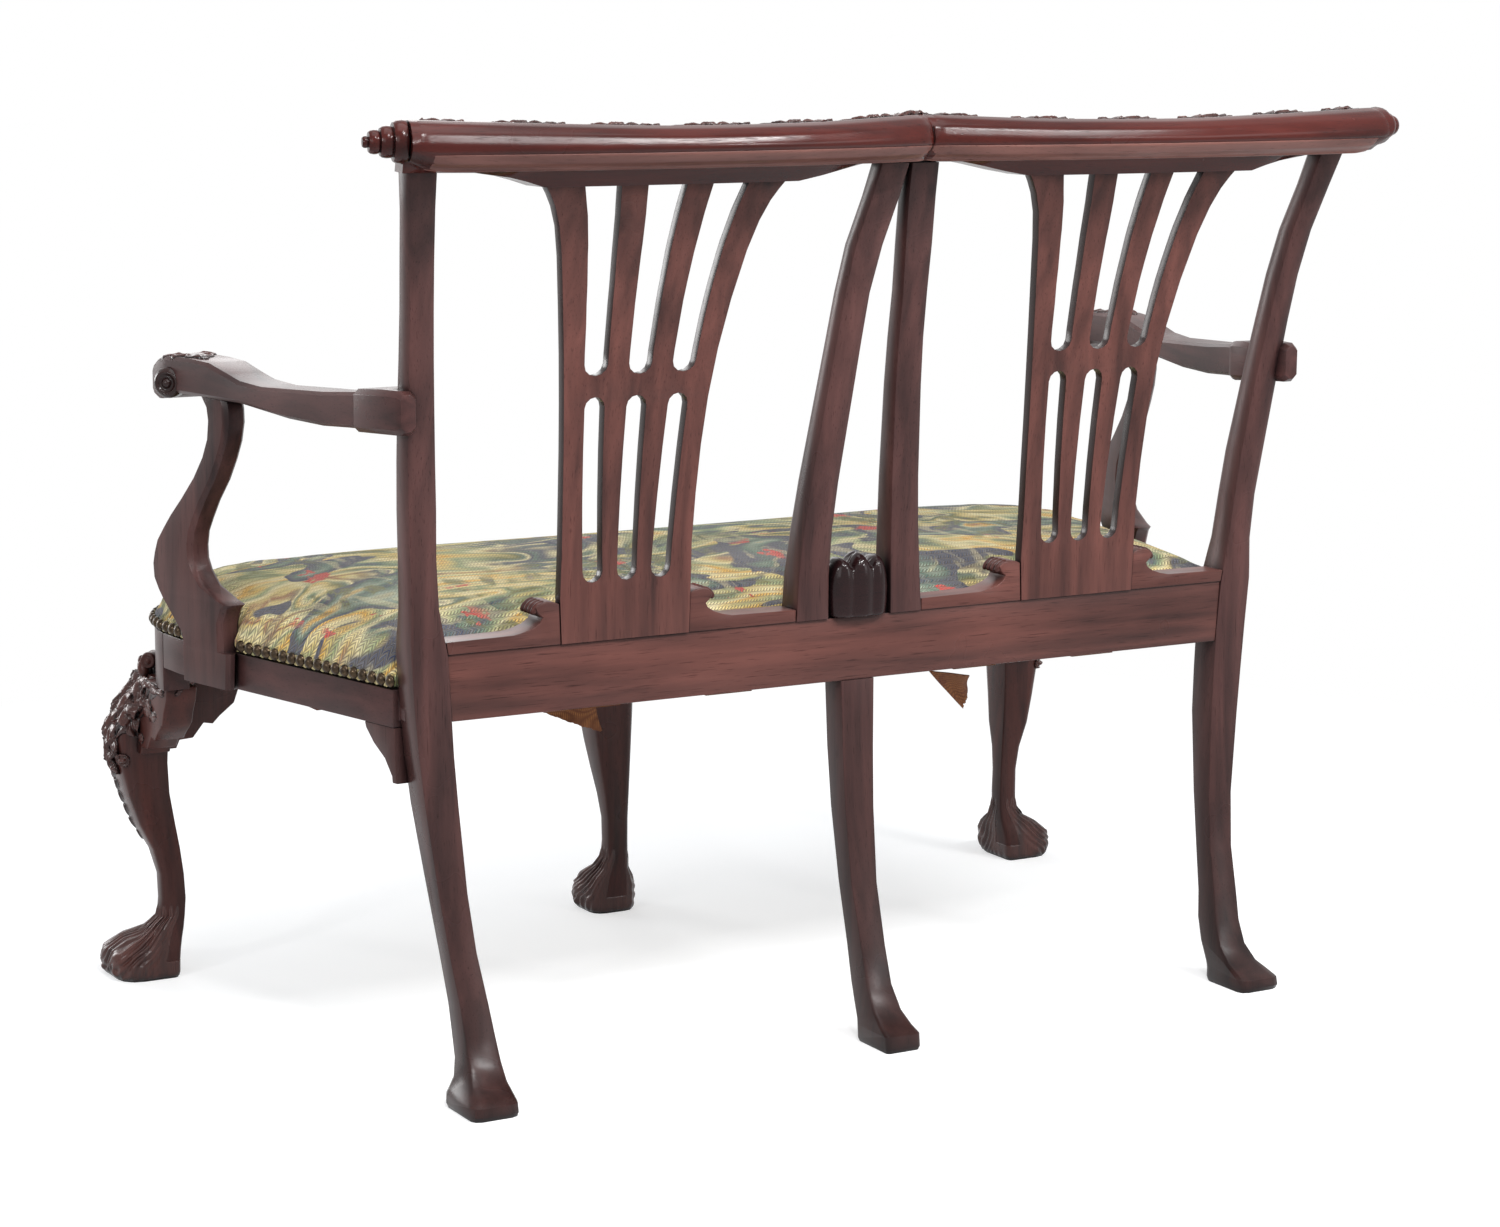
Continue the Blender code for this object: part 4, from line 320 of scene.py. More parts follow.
def mahogany(name, turn, dark, pale, gloss, carved=False, shine=0.20, foot=1.0):
    """Polished mahogany with its grain turned to run along a piece, darkened in hollows as painted shade that also
    stands for old polish, and more in carved hollows.
    """
    look, tree, shader, place = new_look(name)
    turned_space = add_node(tree, "ShaderNodeMapping")
    feed(tree, turn, turned_space.inputs["Rotation"])
    feed(tree, place, turned_space.inputs["Vector"])
    grain = add_node(tree, "ShaderNodeGroup", node_tree=grain_group)
    feed(tree, turned_space.outputs[0], grain.inputs["Vector"])
    wear_and_shade = add_node(tree, "ShaderNodeGroup", node_tree=wear_and_shade_group)
    feed(tree, place, wear_and_shade.inputs["Vector"])
    wood = mixed(tree, grain.outputs["Tone"], dark, pale)
    wood = mixed(tree, grain.outputs["Pores"], wood, PORE_SHADE, "MULTIPLY")
    height = add_node(tree, "ShaderNodeSeparateXYZ")
    feed(tree, place, height.inputs[0])
    footed = add_node(tree, "ShaderNodeVectorMath", operation="SCALE")
    feed(tree, wood, footed.inputs[0])
    feed(tree, ramp(tree, height.outputs["Z"], FOOT_LOW, FOOT_HIGH, foot, 1.0), footed.inputs["Scale"])
    # Hollows are darkened towards that colour as painted shade, which also stands for old polish.
    grime_and_shade = wear_and_shade.outputs["Hollow"]
    if carved:
        # On carved skins the low parts of the relief are painted darker too, as shade in the carving's hollows.
        relief = add_node(tree, "ShaderNodeAttribute", attribute_name="relief")
        grime_and_shade = value_node(tree, "MAXIMUM", ramp(tree, relief.outputs["Fac"], 0.60, 0.10), grime_and_shade)
    feed(tree, mixed(tree, grime_and_shade, footed.outputs[0], GRIME_AND_SHADE), shader.inputs["Base Color"])
    feed(tree, ramp(tree, wear_and_shade.outputs["Smear"], 0.0, 1.0, gloss, gloss + SMEAR_GLOSS), shader.inputs["Roughness"])
    press(tree, shader, grain.outputs["Pores"], 0.08, 0.0006)
    feed(tree, shine, shader.inputs["Specular IOR Level"])
    return look


DARK_WOOD, PALE_WOOD = (0.026, 0.0110, 0.0100), (0.150, 0.0540, 0.0430)
DARK_STILE, PALE_STILE = (0.020, 0.0095, 0.0095), (0.104, 0.0430, 0.0385)
LENGTHWISE = (0.0, 0.0, 0.0)
UP = (0.0, math.radians(90.0), 0.0)
DEEPWARD = (0.0, 0.0, math.radians(-90.0))
ALONG = mahogany("mahogany_along", LENGTHWISE, DARK_WOOD, PALE_WOOD, 0.26)
UPRIGHT = mahogany("mahogany_upright", UP, DARK_WOOD, PALE_WOOD, 0.26)
STILE = mahogany("mahogany_stile", UP, DARK_STILE, PALE_STILE, 0.24, foot=0.42)
LEG = mahogany("mahogany_leg", UP, (0.016, 0.0060, 0.0058), (0.105, 0.0300, 0.0230), 0.22, foot=0.70)
DEEP = mahogany("mahogany_deep", DEEPWARD, DARK_STILE, (0.088, 0.0350, 0.0320), 0.24)
CARVED = mahogany(
    "mahogany_carved", UP, (0.020, 0.0075, 0.0068), (0.105, 0.0320, 0.0240), 0.13, carved=True, shine=0.34
)
CREST = mahogany("mahogany_crest", LENGTHWISE, (0.020, 0.0030, 0.0025), (0.078, 0.0120, 0.0085), 0.12)
# A much paler mahogany for the crest's lower band: painted light, standing for the floor's reflection.
BAND_PAINTED_LIGHT = mahogany("mahogany_band_painted_light", LENGTHWISE, (0.085, 0.0340, 0.0290), (0.235, 0.1000, 0.0800), 0.24)
# Near-black mahogany; on the splats' slot walls and rims it is painted shade.
DARK_EDGE = mahogany("mahogany_dark_edge", UP, (0.0090, 0.0036, 0.0032), (0.030, 0.0105, 0.0090), 0.16, shine=0.26)
GLOSSY = mahogany("mahogany_glossy", LENGTHWISE, (0.0070, 0.0028, 0.0032), (0.022, 0.0066, 0.0070), 0.10, shine=0.22)
print("mahogany looks", [m.name for m in bpy.data.materials if m.name.startswith("mahogany")])

# %% [markdown]
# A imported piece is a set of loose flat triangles. Modifiers join them, round the sharp edges
# a little and shade the shallow ones smoothly, without touching the mesh itself. Real
# edges are never perfectly sharp, and the small round is what catches the light.

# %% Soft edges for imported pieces
SMOOTH_BELOW = math.radians(34.0)
WELD_REACH = 0.00002


def smooth_group():
    """Geometry nodes that shade smooth wherever the angle at an edge is small."""
    group = bpy.data.node_groups.new("smooth_below_angle", "GeometryNodeTree")
    for way in ("INPUT", "OUTPUT"):
        group.interface.new_socket("Geometry", in_out=way, socket_type="NodeSocketGeometry")
    start, end = add_node(group, "NodeGroupInput"), add_node(group, "NodeGroupOutput")
    angle = add_node(group, "GeometryNodeInputMeshEdgeAngle")
    shallow = add_node(group, "FunctionNodeCompare", operation="LESS_THAN")
    edges = add_node(group, "GeometryNodeSetShadeSmooth", domain="EDGE")
    faces = add_node(group, "GeometryNodeSetShadeSmooth", domain="FACE")
    feed(group, angle.outputs["Unsigned Angle"], shallow.inputs[0])
    feed(group, SMOOTH_BELOW, shallow.inputs[1])
    feed(group, start.outputs[0], faces.inputs["Geometry"])
    feed(group, faces.outputs[0], edges.inputs["Geometry"])
    feed(group, shallow.outputs[0], edges.inputs["Shade Smooth"])
    feed(group, edges.outputs[0], end.inputs[0])
    return group


SMOOTH = smooth_group()


def shade_below_angle(piece):
    """Shade a piece smooth except at its sharp edges."""
    piece.modifiers.new("smooth", "NODES").node_group = SMOOTH


def dress(names, look, width, segments=2):
    """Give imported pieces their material, joined triangles, bevels and smooth shading."""
    for name in names:
        piece = NODES[name]
        piece.data.materials.clear()
        piece.data.materials.append(look)
        piece.modifiers.new("weld", "WELD").merge_threshold = WELD_REACH
        if width:
            bevel = piece.modifiers.new("bevel", "BEVEL")
            bevel.limit_method = "ANGLE"
            bevel.angle_limit = SMOOTH_BELOW
            bevel.width = width
            bevel.segments = segments
        shade_below_angle(piece)


def both(stem):
    """The names of a left and a right piece."""
    return [stem + "_left", stem + "_right"]


dress(["rear_seat_rail", "front_seat_rail"], ALONG, 0.0008)
dress(both("rear_leg_stile") + ["rear_leg_middle"], STILE, 0.0022, 3)
dress(both("inner_stile"), STILE, 0.0045, 4)
dress(both("front_leg") + ["front_leg_middle"], LEG, 0.0012)
dress(both("arm_support"), STILE, 0.0030, 3)
dress(both("side_seat_rail") + both("corner_block"), DEEP, 0.0012)
dress(both("arm"), DEEP, 0.0050, 4)
dress(both("knee_bracket_front") + both("knee_bracket_side") + both("knee_bracket_middle"), LEG, 0.0016, 3)
dress(both("rear_bracket"), STILE, 0.0010)
dress(both("crest_ear"), CREST, 0.0012, 3)
dress(["carved_block"], GLOSSY, 0.0)
dress([stem + end for stem in both("shoe") for end in ("_inner", "_outer")], ALONG, 0.0014, 3)
print("dressed pieces", sum(1 for piece in NODES.values() if piece.modifiers))

# %% [markdown]
# The seat is stuffed over the rails and covered in wool needlework. The cover shows a
# leafy landscape, so flowing bands of ochre, olive, sage, slate blue and cream cross it,
# with dark hills and groves of leaves. Each kind of band has its own row of wool colours.

# %% The needlework's landscape
CREAM = (0.80, 0.68, 0.36)
STRAW = (0.66, 0.50, 0.17)
GOLD = (0.74, 0.37, 0.020)
OLIVE = (0.15, 0.15, 0.025)
SAGE = (0.27, 0.33, 0.16)
MIST = (0.30, 0.36, 0.27)
TEAL = (0.065, 0.14, 0.105)
SLATE = (0.034, 0.042, 0.090)
RUST = (0.34, 0.12, 0.05)
WARM_BANDS = [
    (0.0, OLIVE), (0.08, SAGE), (0.20, STRAW), (0.34, CREAM), (0.45, GOLD),
    (0.56, STRAW), (0.66, SAGE), (0.80, CREAM), (0.92, STRAW), (1.0, RUST),
]
COOL_BANDS = [
    (0.0, SLATE), (0.12, TEAL), (0.24, SAGE), (0.40, CREAM), (0.52, STRAW),
    (0.66, OLIVE), (0.76, TEAL), (0.84, CREAM), (0.92, SLATE), (1.0, TEAL),
]
HILL_SHADES = [(0.540, SLATE), (0.585, SLATE), (0.62, TEAL), (0.66, MIST), (0.70, GOLD), (0.76, RUST)]
LEAF_SHADES = [(0.50, TEAL), (0.58, OLIVE), (0.66, SLATE)]


def colour_ramp(tree, value, stops):
    """A colour ramp with a list of places and colours."""
    node = add_node(tree, "ShaderNodeValToRGB")
    points = node.color_ramp.elements
    for point, (position, colour) in zip(points, (stops[0], stops[-1])):
        point.position, point.color = position, (*colour, 1.0)
    for position, colour in stops[1:-1]:
        points.new(position).color = (*colour, 1.0)
    feed(tree, value, node.inputs["Fac"])
    return node.outputs["Color"]


def flowing(tree, vector, amount):
    """A vector pushed about by slow noise, so that bands and rows wave."""
    texture = add_node(tree, "ShaderNodeTexNoise")
    for label, given in (("Scale", 3.4), ("Detail", 2.0), ("Vector", vector)):
        feed(tree, given, texture.inputs[label])
    centred = add_node(tree, "ShaderNodeVectorMath", operation="SUBTRACT")
    feed(tree, texture.outputs["Color"], centred.inputs[0])
    feed(tree, (0.5, 0.5, 0.5), centred.inputs[1])
    push = add_node(tree, "ShaderNodeVectorMath", operation="MULTIPLY_ADD")
    for given, socket in zip((centred.outputs[0], (amount, amount, amount), vector), push.inputs):
        feed(tree, given, socket)
    return push.outputs[0]


def landscape(tree, place, flow):
    """Waving bands with dark hills, and groves of leaves with pale gaps."""
    slow = scaled_noise(tree, flow, (0.70, 1.45, 1.2), 4.6, 3.0, 0.7)
    bands = value_node(tree, "PINGPONG", value_node(tree, "MULTIPLY", slow, 5.4), 1.0)
    region = ramp(tree, scaled_noise(tree, place, (1.0, 1.4, 1.0), 4.4, 2.0), 0.46, 0.54)
    picture = mixed(tree, region, colour_ramp(tree, bands, WARM_BANDS), colour_ramp(tree, bands, COOL_BANDS))
    hills = scaled_noise(tree, flow, (0.75, 1.25, 1.0), 6.4, 2.5, 0.8)
    picture = mixed(tree, ramp(tree, hills, 0.548, 0.556), picture, colour_ramp(tree, hills, HILL_SHADES))
    leafy = scaled_noise(tree, flow, (1.1, 0.55, 1.0), 24.0, 3.0, 1.2)
    groves = ramp(tree, scaled_noise(tree, place, (1.0, 1.6, 1.0), 5.6, 1.0), 0.50, 0.58)
    shade = value_node(tree, "MULTIPLY", value_node(tree, "MULTIPLY", ramp(tree, leafy, 0.50, 0.56), groves), 0.85)
    picture = mixed(tree, shade, picture, colour_ramp(tree, leafy, LEAF_SHADES))
    return mixed(tree, value_node(tree, "MULTIPLY", ramp(tree, leafy, 0.42, 0.36), 0.35), picture, CREAM)


print("wool colours in the bands", len({colour for place, colour in WARM_BANDS + COOL_BANDS}))

# %% [markdown]
# A few red flowers lie over the landscape. Slanting stitches 4 mm apart run over everything,
# in rows 6 mm wide that lean one way and then the other, and the rows wave a little.

# %% Flowers and stitches
FLOWER = (0.60, 0.035, 0.035)
STRAND = (0.72, 0.66, 0.50)
STITCH_SHADE = (0.11, 0.085, 0.055)
ROW_WIDTH = 0.0062
STITCH_HALF = 0.0020


def flower_dabs(tree, place, flow):
    """A mask of small torn dabs, which lie in a few patches."""
    stretched = add_node(tree, "ShaderNodeMapping")
    feed(tree, (0.85, 0.70, 1.0), stretched.inputs["Scale"])
    feed(tree, flowing(tree, flow, 0.05), stretched.inputs["Vector"])
    petals = add_node(tree, "ShaderNodeTexVoronoi")
    feed(tree, 17.0, petals.inputs["Scale"])
    feed(tree, stretched.outputs[0], petals.inputs["Vector"])
    torn = scaled_noise(tree, flow, (1.0, 1.0, 1.0), 90.0, 2.0)
    petal_size = value_node(tree, "ADD", petals.outputs["Distance"], value_node(tree, "MULTIPLY", torn, 0.62))
    patch = ramp(tree, scaled_noise(tree, place, (1.0, 1.0, 1.0), 7.5, 1.0), 0.54, 0.58)
    return value_node(tree, "MULTIPLY", ramp(tree, petal_size, 0.55, 0.52), patch)


def needlework():
    """Wool needlework with a landscape, flowers and slanting stitches."""
    look, tree, shader, place = new_look("needlework")
    flow = flowing(tree, place, 0.15)
    picture = mixed(tree, flower_dabs(tree, place, flow), landscape(tree, place, flow), FLOWER)
    parts = add_node(tree, "ShaderNodeSeparateXYZ")
    feed(tree, flowing(tree, place, 0.05), parts.inputs[0])
    across = value_node(tree, "PINGPONG", parts.outputs["Y"], ROW_WIDTH)
    slant = value_node(tree, "ADD", parts.outputs["X"], value_node(tree, "MULTIPLY", across, 0.9))
    gap = ramp(tree, value_node(tree, "PINGPONG", slant, STITCH_HALF), 0.0012, 0.0001)
    valley = value_node(tree, "MAXIMUM", gap, ramp(tree, across, 0.0014, 0.0))
    strands = ramp(tree, scaled_noise(tree, slant, (1.0, 1.0, 1.0), 420.0, 1.0), 0.35, 0.70)
    picture = mixed(tree, value_node(tree, "MULTIPLY", strands, 0.26), picture, STRAND)
    # The valleys between stitches and rows are painted darker, as shade in the grooves.
    picture = mixed(tree, value_node(tree, "MULTIPLY", valley, 0.72), picture, STITCH_SHADE)
    feed(tree, picture, shader.inputs["Base Color"])
    press(tree, shader, valley, 0.85, 0.0016)
    for label, value in (("Roughness", 0.92), ("Specular IOR Level", 0.15), ("Sheen Weight", 0.12)):
        feed(tree, value, shader.inputs[label])
    return look


NEEDLEWORK = needlework()
print("stitches are", 2 * STITCH_HALF, "apart in rows", ROW_WIDTH, "wide")

# %% [markdown]
# The trim, the seat's underside and the webbing are plain woven cloth. Warp and weft cross
# at even steps, and slow noise leaves stray marks.

# %% Plain woven cloths
def weave(name, pale, dark, mark, period):
    """A plain woven cloth with crossing threads and stray marks."""
    look, tree, shader, place = new_look(name)
    parts = add_node(tree, "ShaderNodeSeparateXYZ")
    feed(tree, place, parts.inputs[0])
    warp, weft = (ramp(tree, value_node(tree, "PINGPONG", parts.outputs[axis], period), 0.0, period) for axis in "XY")
    crossing = value_node(tree, "MULTIPLY", warp, weft)
    stain = ramp(tree, scaled_noise(tree, place, (1.0, 1.0, 1.0), 42.0, 3.0), 0.52, 0.66)
    thread = mixed(tree, value_node(tree, "MULTIPLY", stain, 0.6), mixed(tree, crossing, dark, pale), mark)
    feed(tree, thread, shader.inputs["Base Color"])
    press(tree, shader, crossing, 0.6, 0.0006, invert=False)
    feed(tree, 0.9, shader.inputs["Roughness"])
    return look


EDGE_WOOL = weave("edge_wool", (0.66, 0.55, 0.30), (0.30, 0.24, 0.11), (0.22, 0.24, 0.12), 0.0016)
LINEN = weave("underside_linen", (0.42, 0.34, 0.22), (0.16, 0.12, 0.07), (0.20, 0.14, 0.08), 0.0012)
WEBBING = weave("jute_webbing", (0.30, 0.115, 0.032), (0.11, 0.034, 0.010), (0.070, 0.010, 0.008), 0.0011)
print("cloth looks", NEEDLEWORK.name, EDGE_WOOL.name, LINEN.name, WEBBING.name)

# %% [markdown]
# New pieces are built as loose geometry and then placed. These small tools join a packed
# piece's triangles, relax and shade a shape, place it so that it rides on the settee, and
# give a place measured from the rear face of the rear seat rail.

# %% Tools for new pieces
def bench(x, y, z):
    """A place measured from the rear face of the rear seat rail."""
    return Vector((x, y + SHIFT_Y, z))


def joined(name):
    """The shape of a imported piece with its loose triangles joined."""
    built = bmesh.new()
    built.from_mesh(NODES[name].data)
    bmesh.ops.remove_doubles(built, verts=built.verts, dist=WELD_REACH)
    return built


def relax(built, verts, passes, factor=0.5):
    """Move some points of a shape towards their neighbours, a few times."""
    for _ in range(passes):
        bmesh.ops.smooth_vert(built, verts=verts, factor=factor, use_axis_x=True, use_axis_y=True, use_axis_z=True)


def shade_smooth(built):
    """Shade every face of a shape smooth."""
    for face in built.faces:
        face.smooth = True


def placed(name, built, *looks):
    """A finished bmesh as a new object that rides on the settee."""
    mesh = bpy.data.meshes.new(name)
    built.to_mesh(mesh)
    built.free()
    for look in looks:
        mesh.materials.append(look)
    piece = bpy.data.objects.new(name, mesh)
    bpy.context.scene.collection.objects.link(piece)
    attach(piece, "root")
    return piece


def polished(name, built, *looks):
    """A finished shape as a new mahogany piece."""
    piece = placed(name, built, *looks)
    return piece


print("a place on the rear rail's face", [round(v, 4) for v in bench(0.0, 0.0, 0.4)])

# %% [markdown]
# The stuffing pushes the cover up between the rails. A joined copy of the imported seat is
# remeshed finely, its edge is held where the nails hold it, and a cloth simulation with
# pressure inside swells the rest. The movement is capped, so the crown stays close to the
# packed one.

# %% The stuffed seat
SEAT_HOLD_Z = 0.430
SEAT_CAP = 0.006
SEAT_GRID = 0.006
CLOTH_STEPS = 20


def freeze(piece):
    """Keep a piece as its modifiers show it now, and remove them."""
    shown_piece = piece.evaluated_get(bpy.context.evaluated_depsgraph_get())
    mesh = bpy.data.meshes.new_from_object(shown_piece)
    piece.modifiers.clear()
    piece.data = mesh


cover = placed("seat_cover", joined("stuffed_seat"))
remesh = cover.modifiers.new("remesh", "REMESH")
remesh.mode = "VOXEL"
remesh.voxel_size = SEAT_GRID
freeze(cover)
start_places = [vert.co.copy() for vert in cover.data.vertices]
held = cover.vertex_groups.new(name="held")
held.add([i for i, start in enumerate(start_places) if start.z < SEAT_HOLD_Z], 1.0, "REPLACE")
cloth = cover.modifiers.new("cloth", "CLOTH")
cloth.settings.use_pressure = True
cloth.settings.uniform_pressure_force = 4.0
cloth.settings.vertex_group_mass = "held"
cloth.settings.effector_weights.gravity = 0.0
for step in range(1, CLOTH_STEPS + 1):
    bpy.context.scene.frame_set(step)
freeze(cover)
for vert, start in zip(cover.data.vertices, start_places):
    moved = vert.co - start
    if moved.length > SEAT_CAP:
        vert.co = start + moved * (SEAT_CAP / moved.length)
bpy.context.scene.frame_set(1)
print("seat cover points", len(cover.data.vertices), "top", round(max(v.co.z for v in cover.data.vertices), 4))

# %% [markdown]
# The crown is relaxed a little, so that no step of the fine grid shows. Faces that look
# down take plain linen, and all the others take the needlework. The cover takes the place of
# the packed seat, which is hidden.

# %% Finish the seat cover
UNDERSIDE = -0.7
cover_shape = bmesh.new()
cover_shape.from_mesh(cover.data)
relax(cover_shape, [v for v in cover_shape.verts if v.co.z > SEAT_HOLD_Z], 4)
cover_shape.normal_update()
for face in cover_shape.faces:
    face.smooth = True
    face.material_index = 1 if face.normal.z < UNDERSIDE else 0
cover_shape.to_mesh(cover.data)
cover_shape.free()
cover.data.materials.clear()
cover.data.materials.append(NEEDLEWORK)
cover.data.materials.append(LINEN)
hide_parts("stuffed_seat")
print("seat cover faces", len(cover.data.polygons))

# %% [markdown]
# Nails, bosses, ribs and lobes repeat. A profile is spun into a turned shape, a pattern is
# copied to many places, and places are spaced evenly along a path. The path here is the
# lower edge of the cover, from the left rear corner round the front to the right.

# %% Turned shapes, copies and paths
def spun(profile, steps):
    """A closed turned shape from (radius, height) points about the z axis."""
    turned = bmesh.new()
    points = [turned.verts.new((radius, 0.0, height)) for radius, height in profile]
    edges = [turned.edges.new(pair) for pair in zip(points, points[1:])]
    bmesh.ops.spin(
        turned, geom=points + edges, cent=(0, 0, 0), axis=(0, 0, 1), angle=math.tau, steps=steps, use_merge=True
    )
    bmesh.ops.remove_doubles(turned, verts=turned.verts, dist=0.00001)
    bmesh.ops.recalc_face_normals(turned, faces=turned.faces)
    shade_smooth(turned)
    return turned


def copies(pattern, places):
    """One bmesh with a copy of a pattern at each matrix."""
    mesh = bpy.data.meshes.new("pattern")
    pattern.to_mesh(mesh)
    pattern.free()
    gathered = bmesh.new()
    for matrix in places:
        first = len(gathered.verts)
        gathered.from_mesh(mesh)
        gathered.verts.ensure_lookup_table()
        bmesh.ops.transform(gathered, matrix=matrix, verts=gathered.verts[first:])
    bpy.data.meshes.remove(mesh)
    return gathered


def along(path, pitch):
    """Evenly spaced places on a path, each with its direction."""
    spots = []
    left_over = 0.0
    for first, second in zip(path, path[1:]):
        length = (second - first).length
        reach = left_over
        while reach < length:
            spots.append((first.lerp(second, reach / length), (second - first).normalized()))
            reach += pitch
        left_over = reach - length
    return spots


NAIL_Z = 0.4240
SIDE_EDGE = [
    (0.5232, -0.040), (0.5435, -0.12), (0.5658, -0.21), (0.5871, -0.296),
    (0.6001, -0.35), (0.6093, -0.40), (0.6123, -0.4437),
]
CORNER_X, CORNER_Y, CORNER_RADIUS = 0.481, -0.444, 0.1313
FRONT_MIDDLE = (0.0, -0.5755)
SUPPORT_X = 0.55
turns = [math.radians(-10.0 * k) for k in range(1, 10)]
corner = [(CORNER_X + CORNER_RADIUS * math.cos(turn), CORNER_Y + CORNER_RADIUS * math.sin(turn)) for turn in turns]
half_edge = [bench(x, y, NAIL_Z) for x, y in SIDE_EDGE + corner + [FRONT_MIDDLE]]
whole_edge = half_edge + [Vector((-p.x, p.y, p.z)) for p in reversed(half_edge[:-1])]


def outward_of(direction):
    """The level direction that points away from the seat, from the path's direction."""
    return direction.cross(Vector((0, 0, 1))).normalized() * -1.0


def hidden(spot, gap):
    """Whether an arm support hides a spot of the path, from the stretch it covers."""
    return abs(spot.x) > SUPPORT_X and gap[0] < spot.y - SHIFT_Y < gap[1]


print("edge path points", len(whole_edge))

# %% [markdown]
# Close-set brass nails with domed heads run round the lower edge of the cover on three
# sides. One dome is spun from its profile, and copies of it follow the path. The arm
# supports hide a short stretch, and the nails leave it free.

# %% Brass nails
BRIGHT_BRASS, DULL_BRASS = (0.072, 0.050, 0.031), (0.022, 0.017, 0.014)
NAIL_PITCH = 0.0148
NAIL_PROUD = 0.0008
NAIL_GAP = (-0.382, -0.298)
NAIL_HEAD = [(0.0, 0.0052), (0.0027, 0.0048), (0.0050, 0.0034), (0.0065, 0.0011), (0.0067, 0.0), (0.0, -0.0004)]


def brass():
    """Antique brass: patches of tarnish are darker and duller."""
    look, tree, shader, place = new_look("antique_brass")
    tarnish = ramp(tree, scaled_noise(tree, place, (1.0, 1.0, 1.0), 260.0, 3.0), 0.35, 0.70)
    feed(tree, mixed(tree, tarnish, BRIGHT_BRASS, DULL_BRASS), shader.inputs["Base Color"])
    feed(tree, ramp(tree, tarnish, 0.0, 1.0, 0.24, 0.42), shader.inputs["Roughness"])
    feed(tree, 1.0, shader.inputs["Metallic"])
    return look


nail_places = []
for spot, direction in along(whole_edge, NAIL_PITCH):
    if hidden(spot, NAIL_GAP):
        continue
    outward = outward_of(direction)
    turned_to = Matrix((direction, Vector((0, 0, 1)), outward)).transposed().to_4x4()
    nail_places.append(Matrix.Translation(spot + outward * NAIL_PROUD) @ turned_to)
placed("brass_nails", copies(spun(NAIL_HEAD, 12), nail_places), brass())
print("brass nails", len(nail_places))

# %% [markdown]
# A narrow woollen trim with a scalloped lower edge lies under the nails and covers the end
# of the needlework. It is a thin strip along the same path.

# %% The scalloped cover edge
EDGE_TOP, EDGE_NAILED, EDGE_LOW = 0.4282, 0.4220, 0.4181
EDGE_PITCH = 0.0037
EDGE_PROUD = 0.0012
EDGE_GAP = (-0.386, -0.2945)
SCALLOP = 0.0009
trim_shape = bmesh.new()
before = None
for index, (spot, direction) in enumerate(along(whole_edge, EDGE_PITCH)):
    if hidden(spot, EDGE_GAP):
        before = None
        continue
    outward = outward_of(direction) * EDGE_PROUD
    low = EDGE_LOW + SCALLOP * math.cos(math.tau * index / 4.0)
    heights = (EDGE_TOP, EDGE_NAILED, low)
    row = [trim_shape.verts.new((spot.x + outward.x, spot.y + outward.y, z)) for z in heights]
    if before:
        for upper in (0, 1):
            trim_shape.faces.new((before[upper], before[upper + 1], row[upper + 1], row[upper]))
    before = row
bmesh.ops.recalc_face_normals(trim_shape, faces=trim_shape.faces)
edge_area = sum(face.calc_area() for face in trim_shape.faces)
bmesh.ops.solidify(trim_shape, geom=trim_shape.faces, thickness=0.0008)
trim = placed("cover_edge", trim_shape, EDGE_WOOL)

# %% [markdown]
# Jute webbing holds the stuffing from below. Each strip is a joined copy of its packed
# strip, cut finer, and its flat size is printed.

# %% Woven strips
STRIPS = ["webbing_cross_1", "webbing_cross_2"] + ["webbing_long_%d" % number for number in range(1, 5)]


def woven(name, built):
    """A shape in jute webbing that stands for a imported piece."""
    piece = placed(name + "_woven", built, WEBBING)
    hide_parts(name)
    return piece


for name in STRIPS:
    strip = joined(name)
    bmesh.ops.subdivide_edges(strip, edges=strip.edges, cuts=2, use_grid_fill=True)
    shade_smooth(strip)
    piece = woven(name, strip)
    low, high = [Vector(p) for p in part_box(name)]
    size = sorted(high - low)
    rails = both("side_seat_rail") if "cross" in name else ["front_seat_rail", "rear_seat_rail"]
    print(name, "flat", [round(v, 4) for v in size[1:]])

# %% [markdown]
# Two tails hang below the rear rail, where old strips were cut. Each is a grid stretched
# between four corners, with a sagging, wavy face and a frayed end, and its flat size is
# printed.

# %% Webbing tails
TAIL_SAG = -0.003
TAIL_THICK = 0.0013
FRAYED = 0.98
TAILS = {
    "webbing_tail_left": [
        (0.358, -0.030, 0.3836), (0.2975, -0.034, 0.3836), (0.2847, -0.041, 0.3480), (0.356, -0.040, 0.3770),
    ],
    "webbing_tail_right": [
        (-0.110, -0.030, 0.3790), (-0.160, -0.026, 0.3700), (-0.176, -0.052, 0.3480), (-0.172, -0.056, 0.3260),
    ],
}


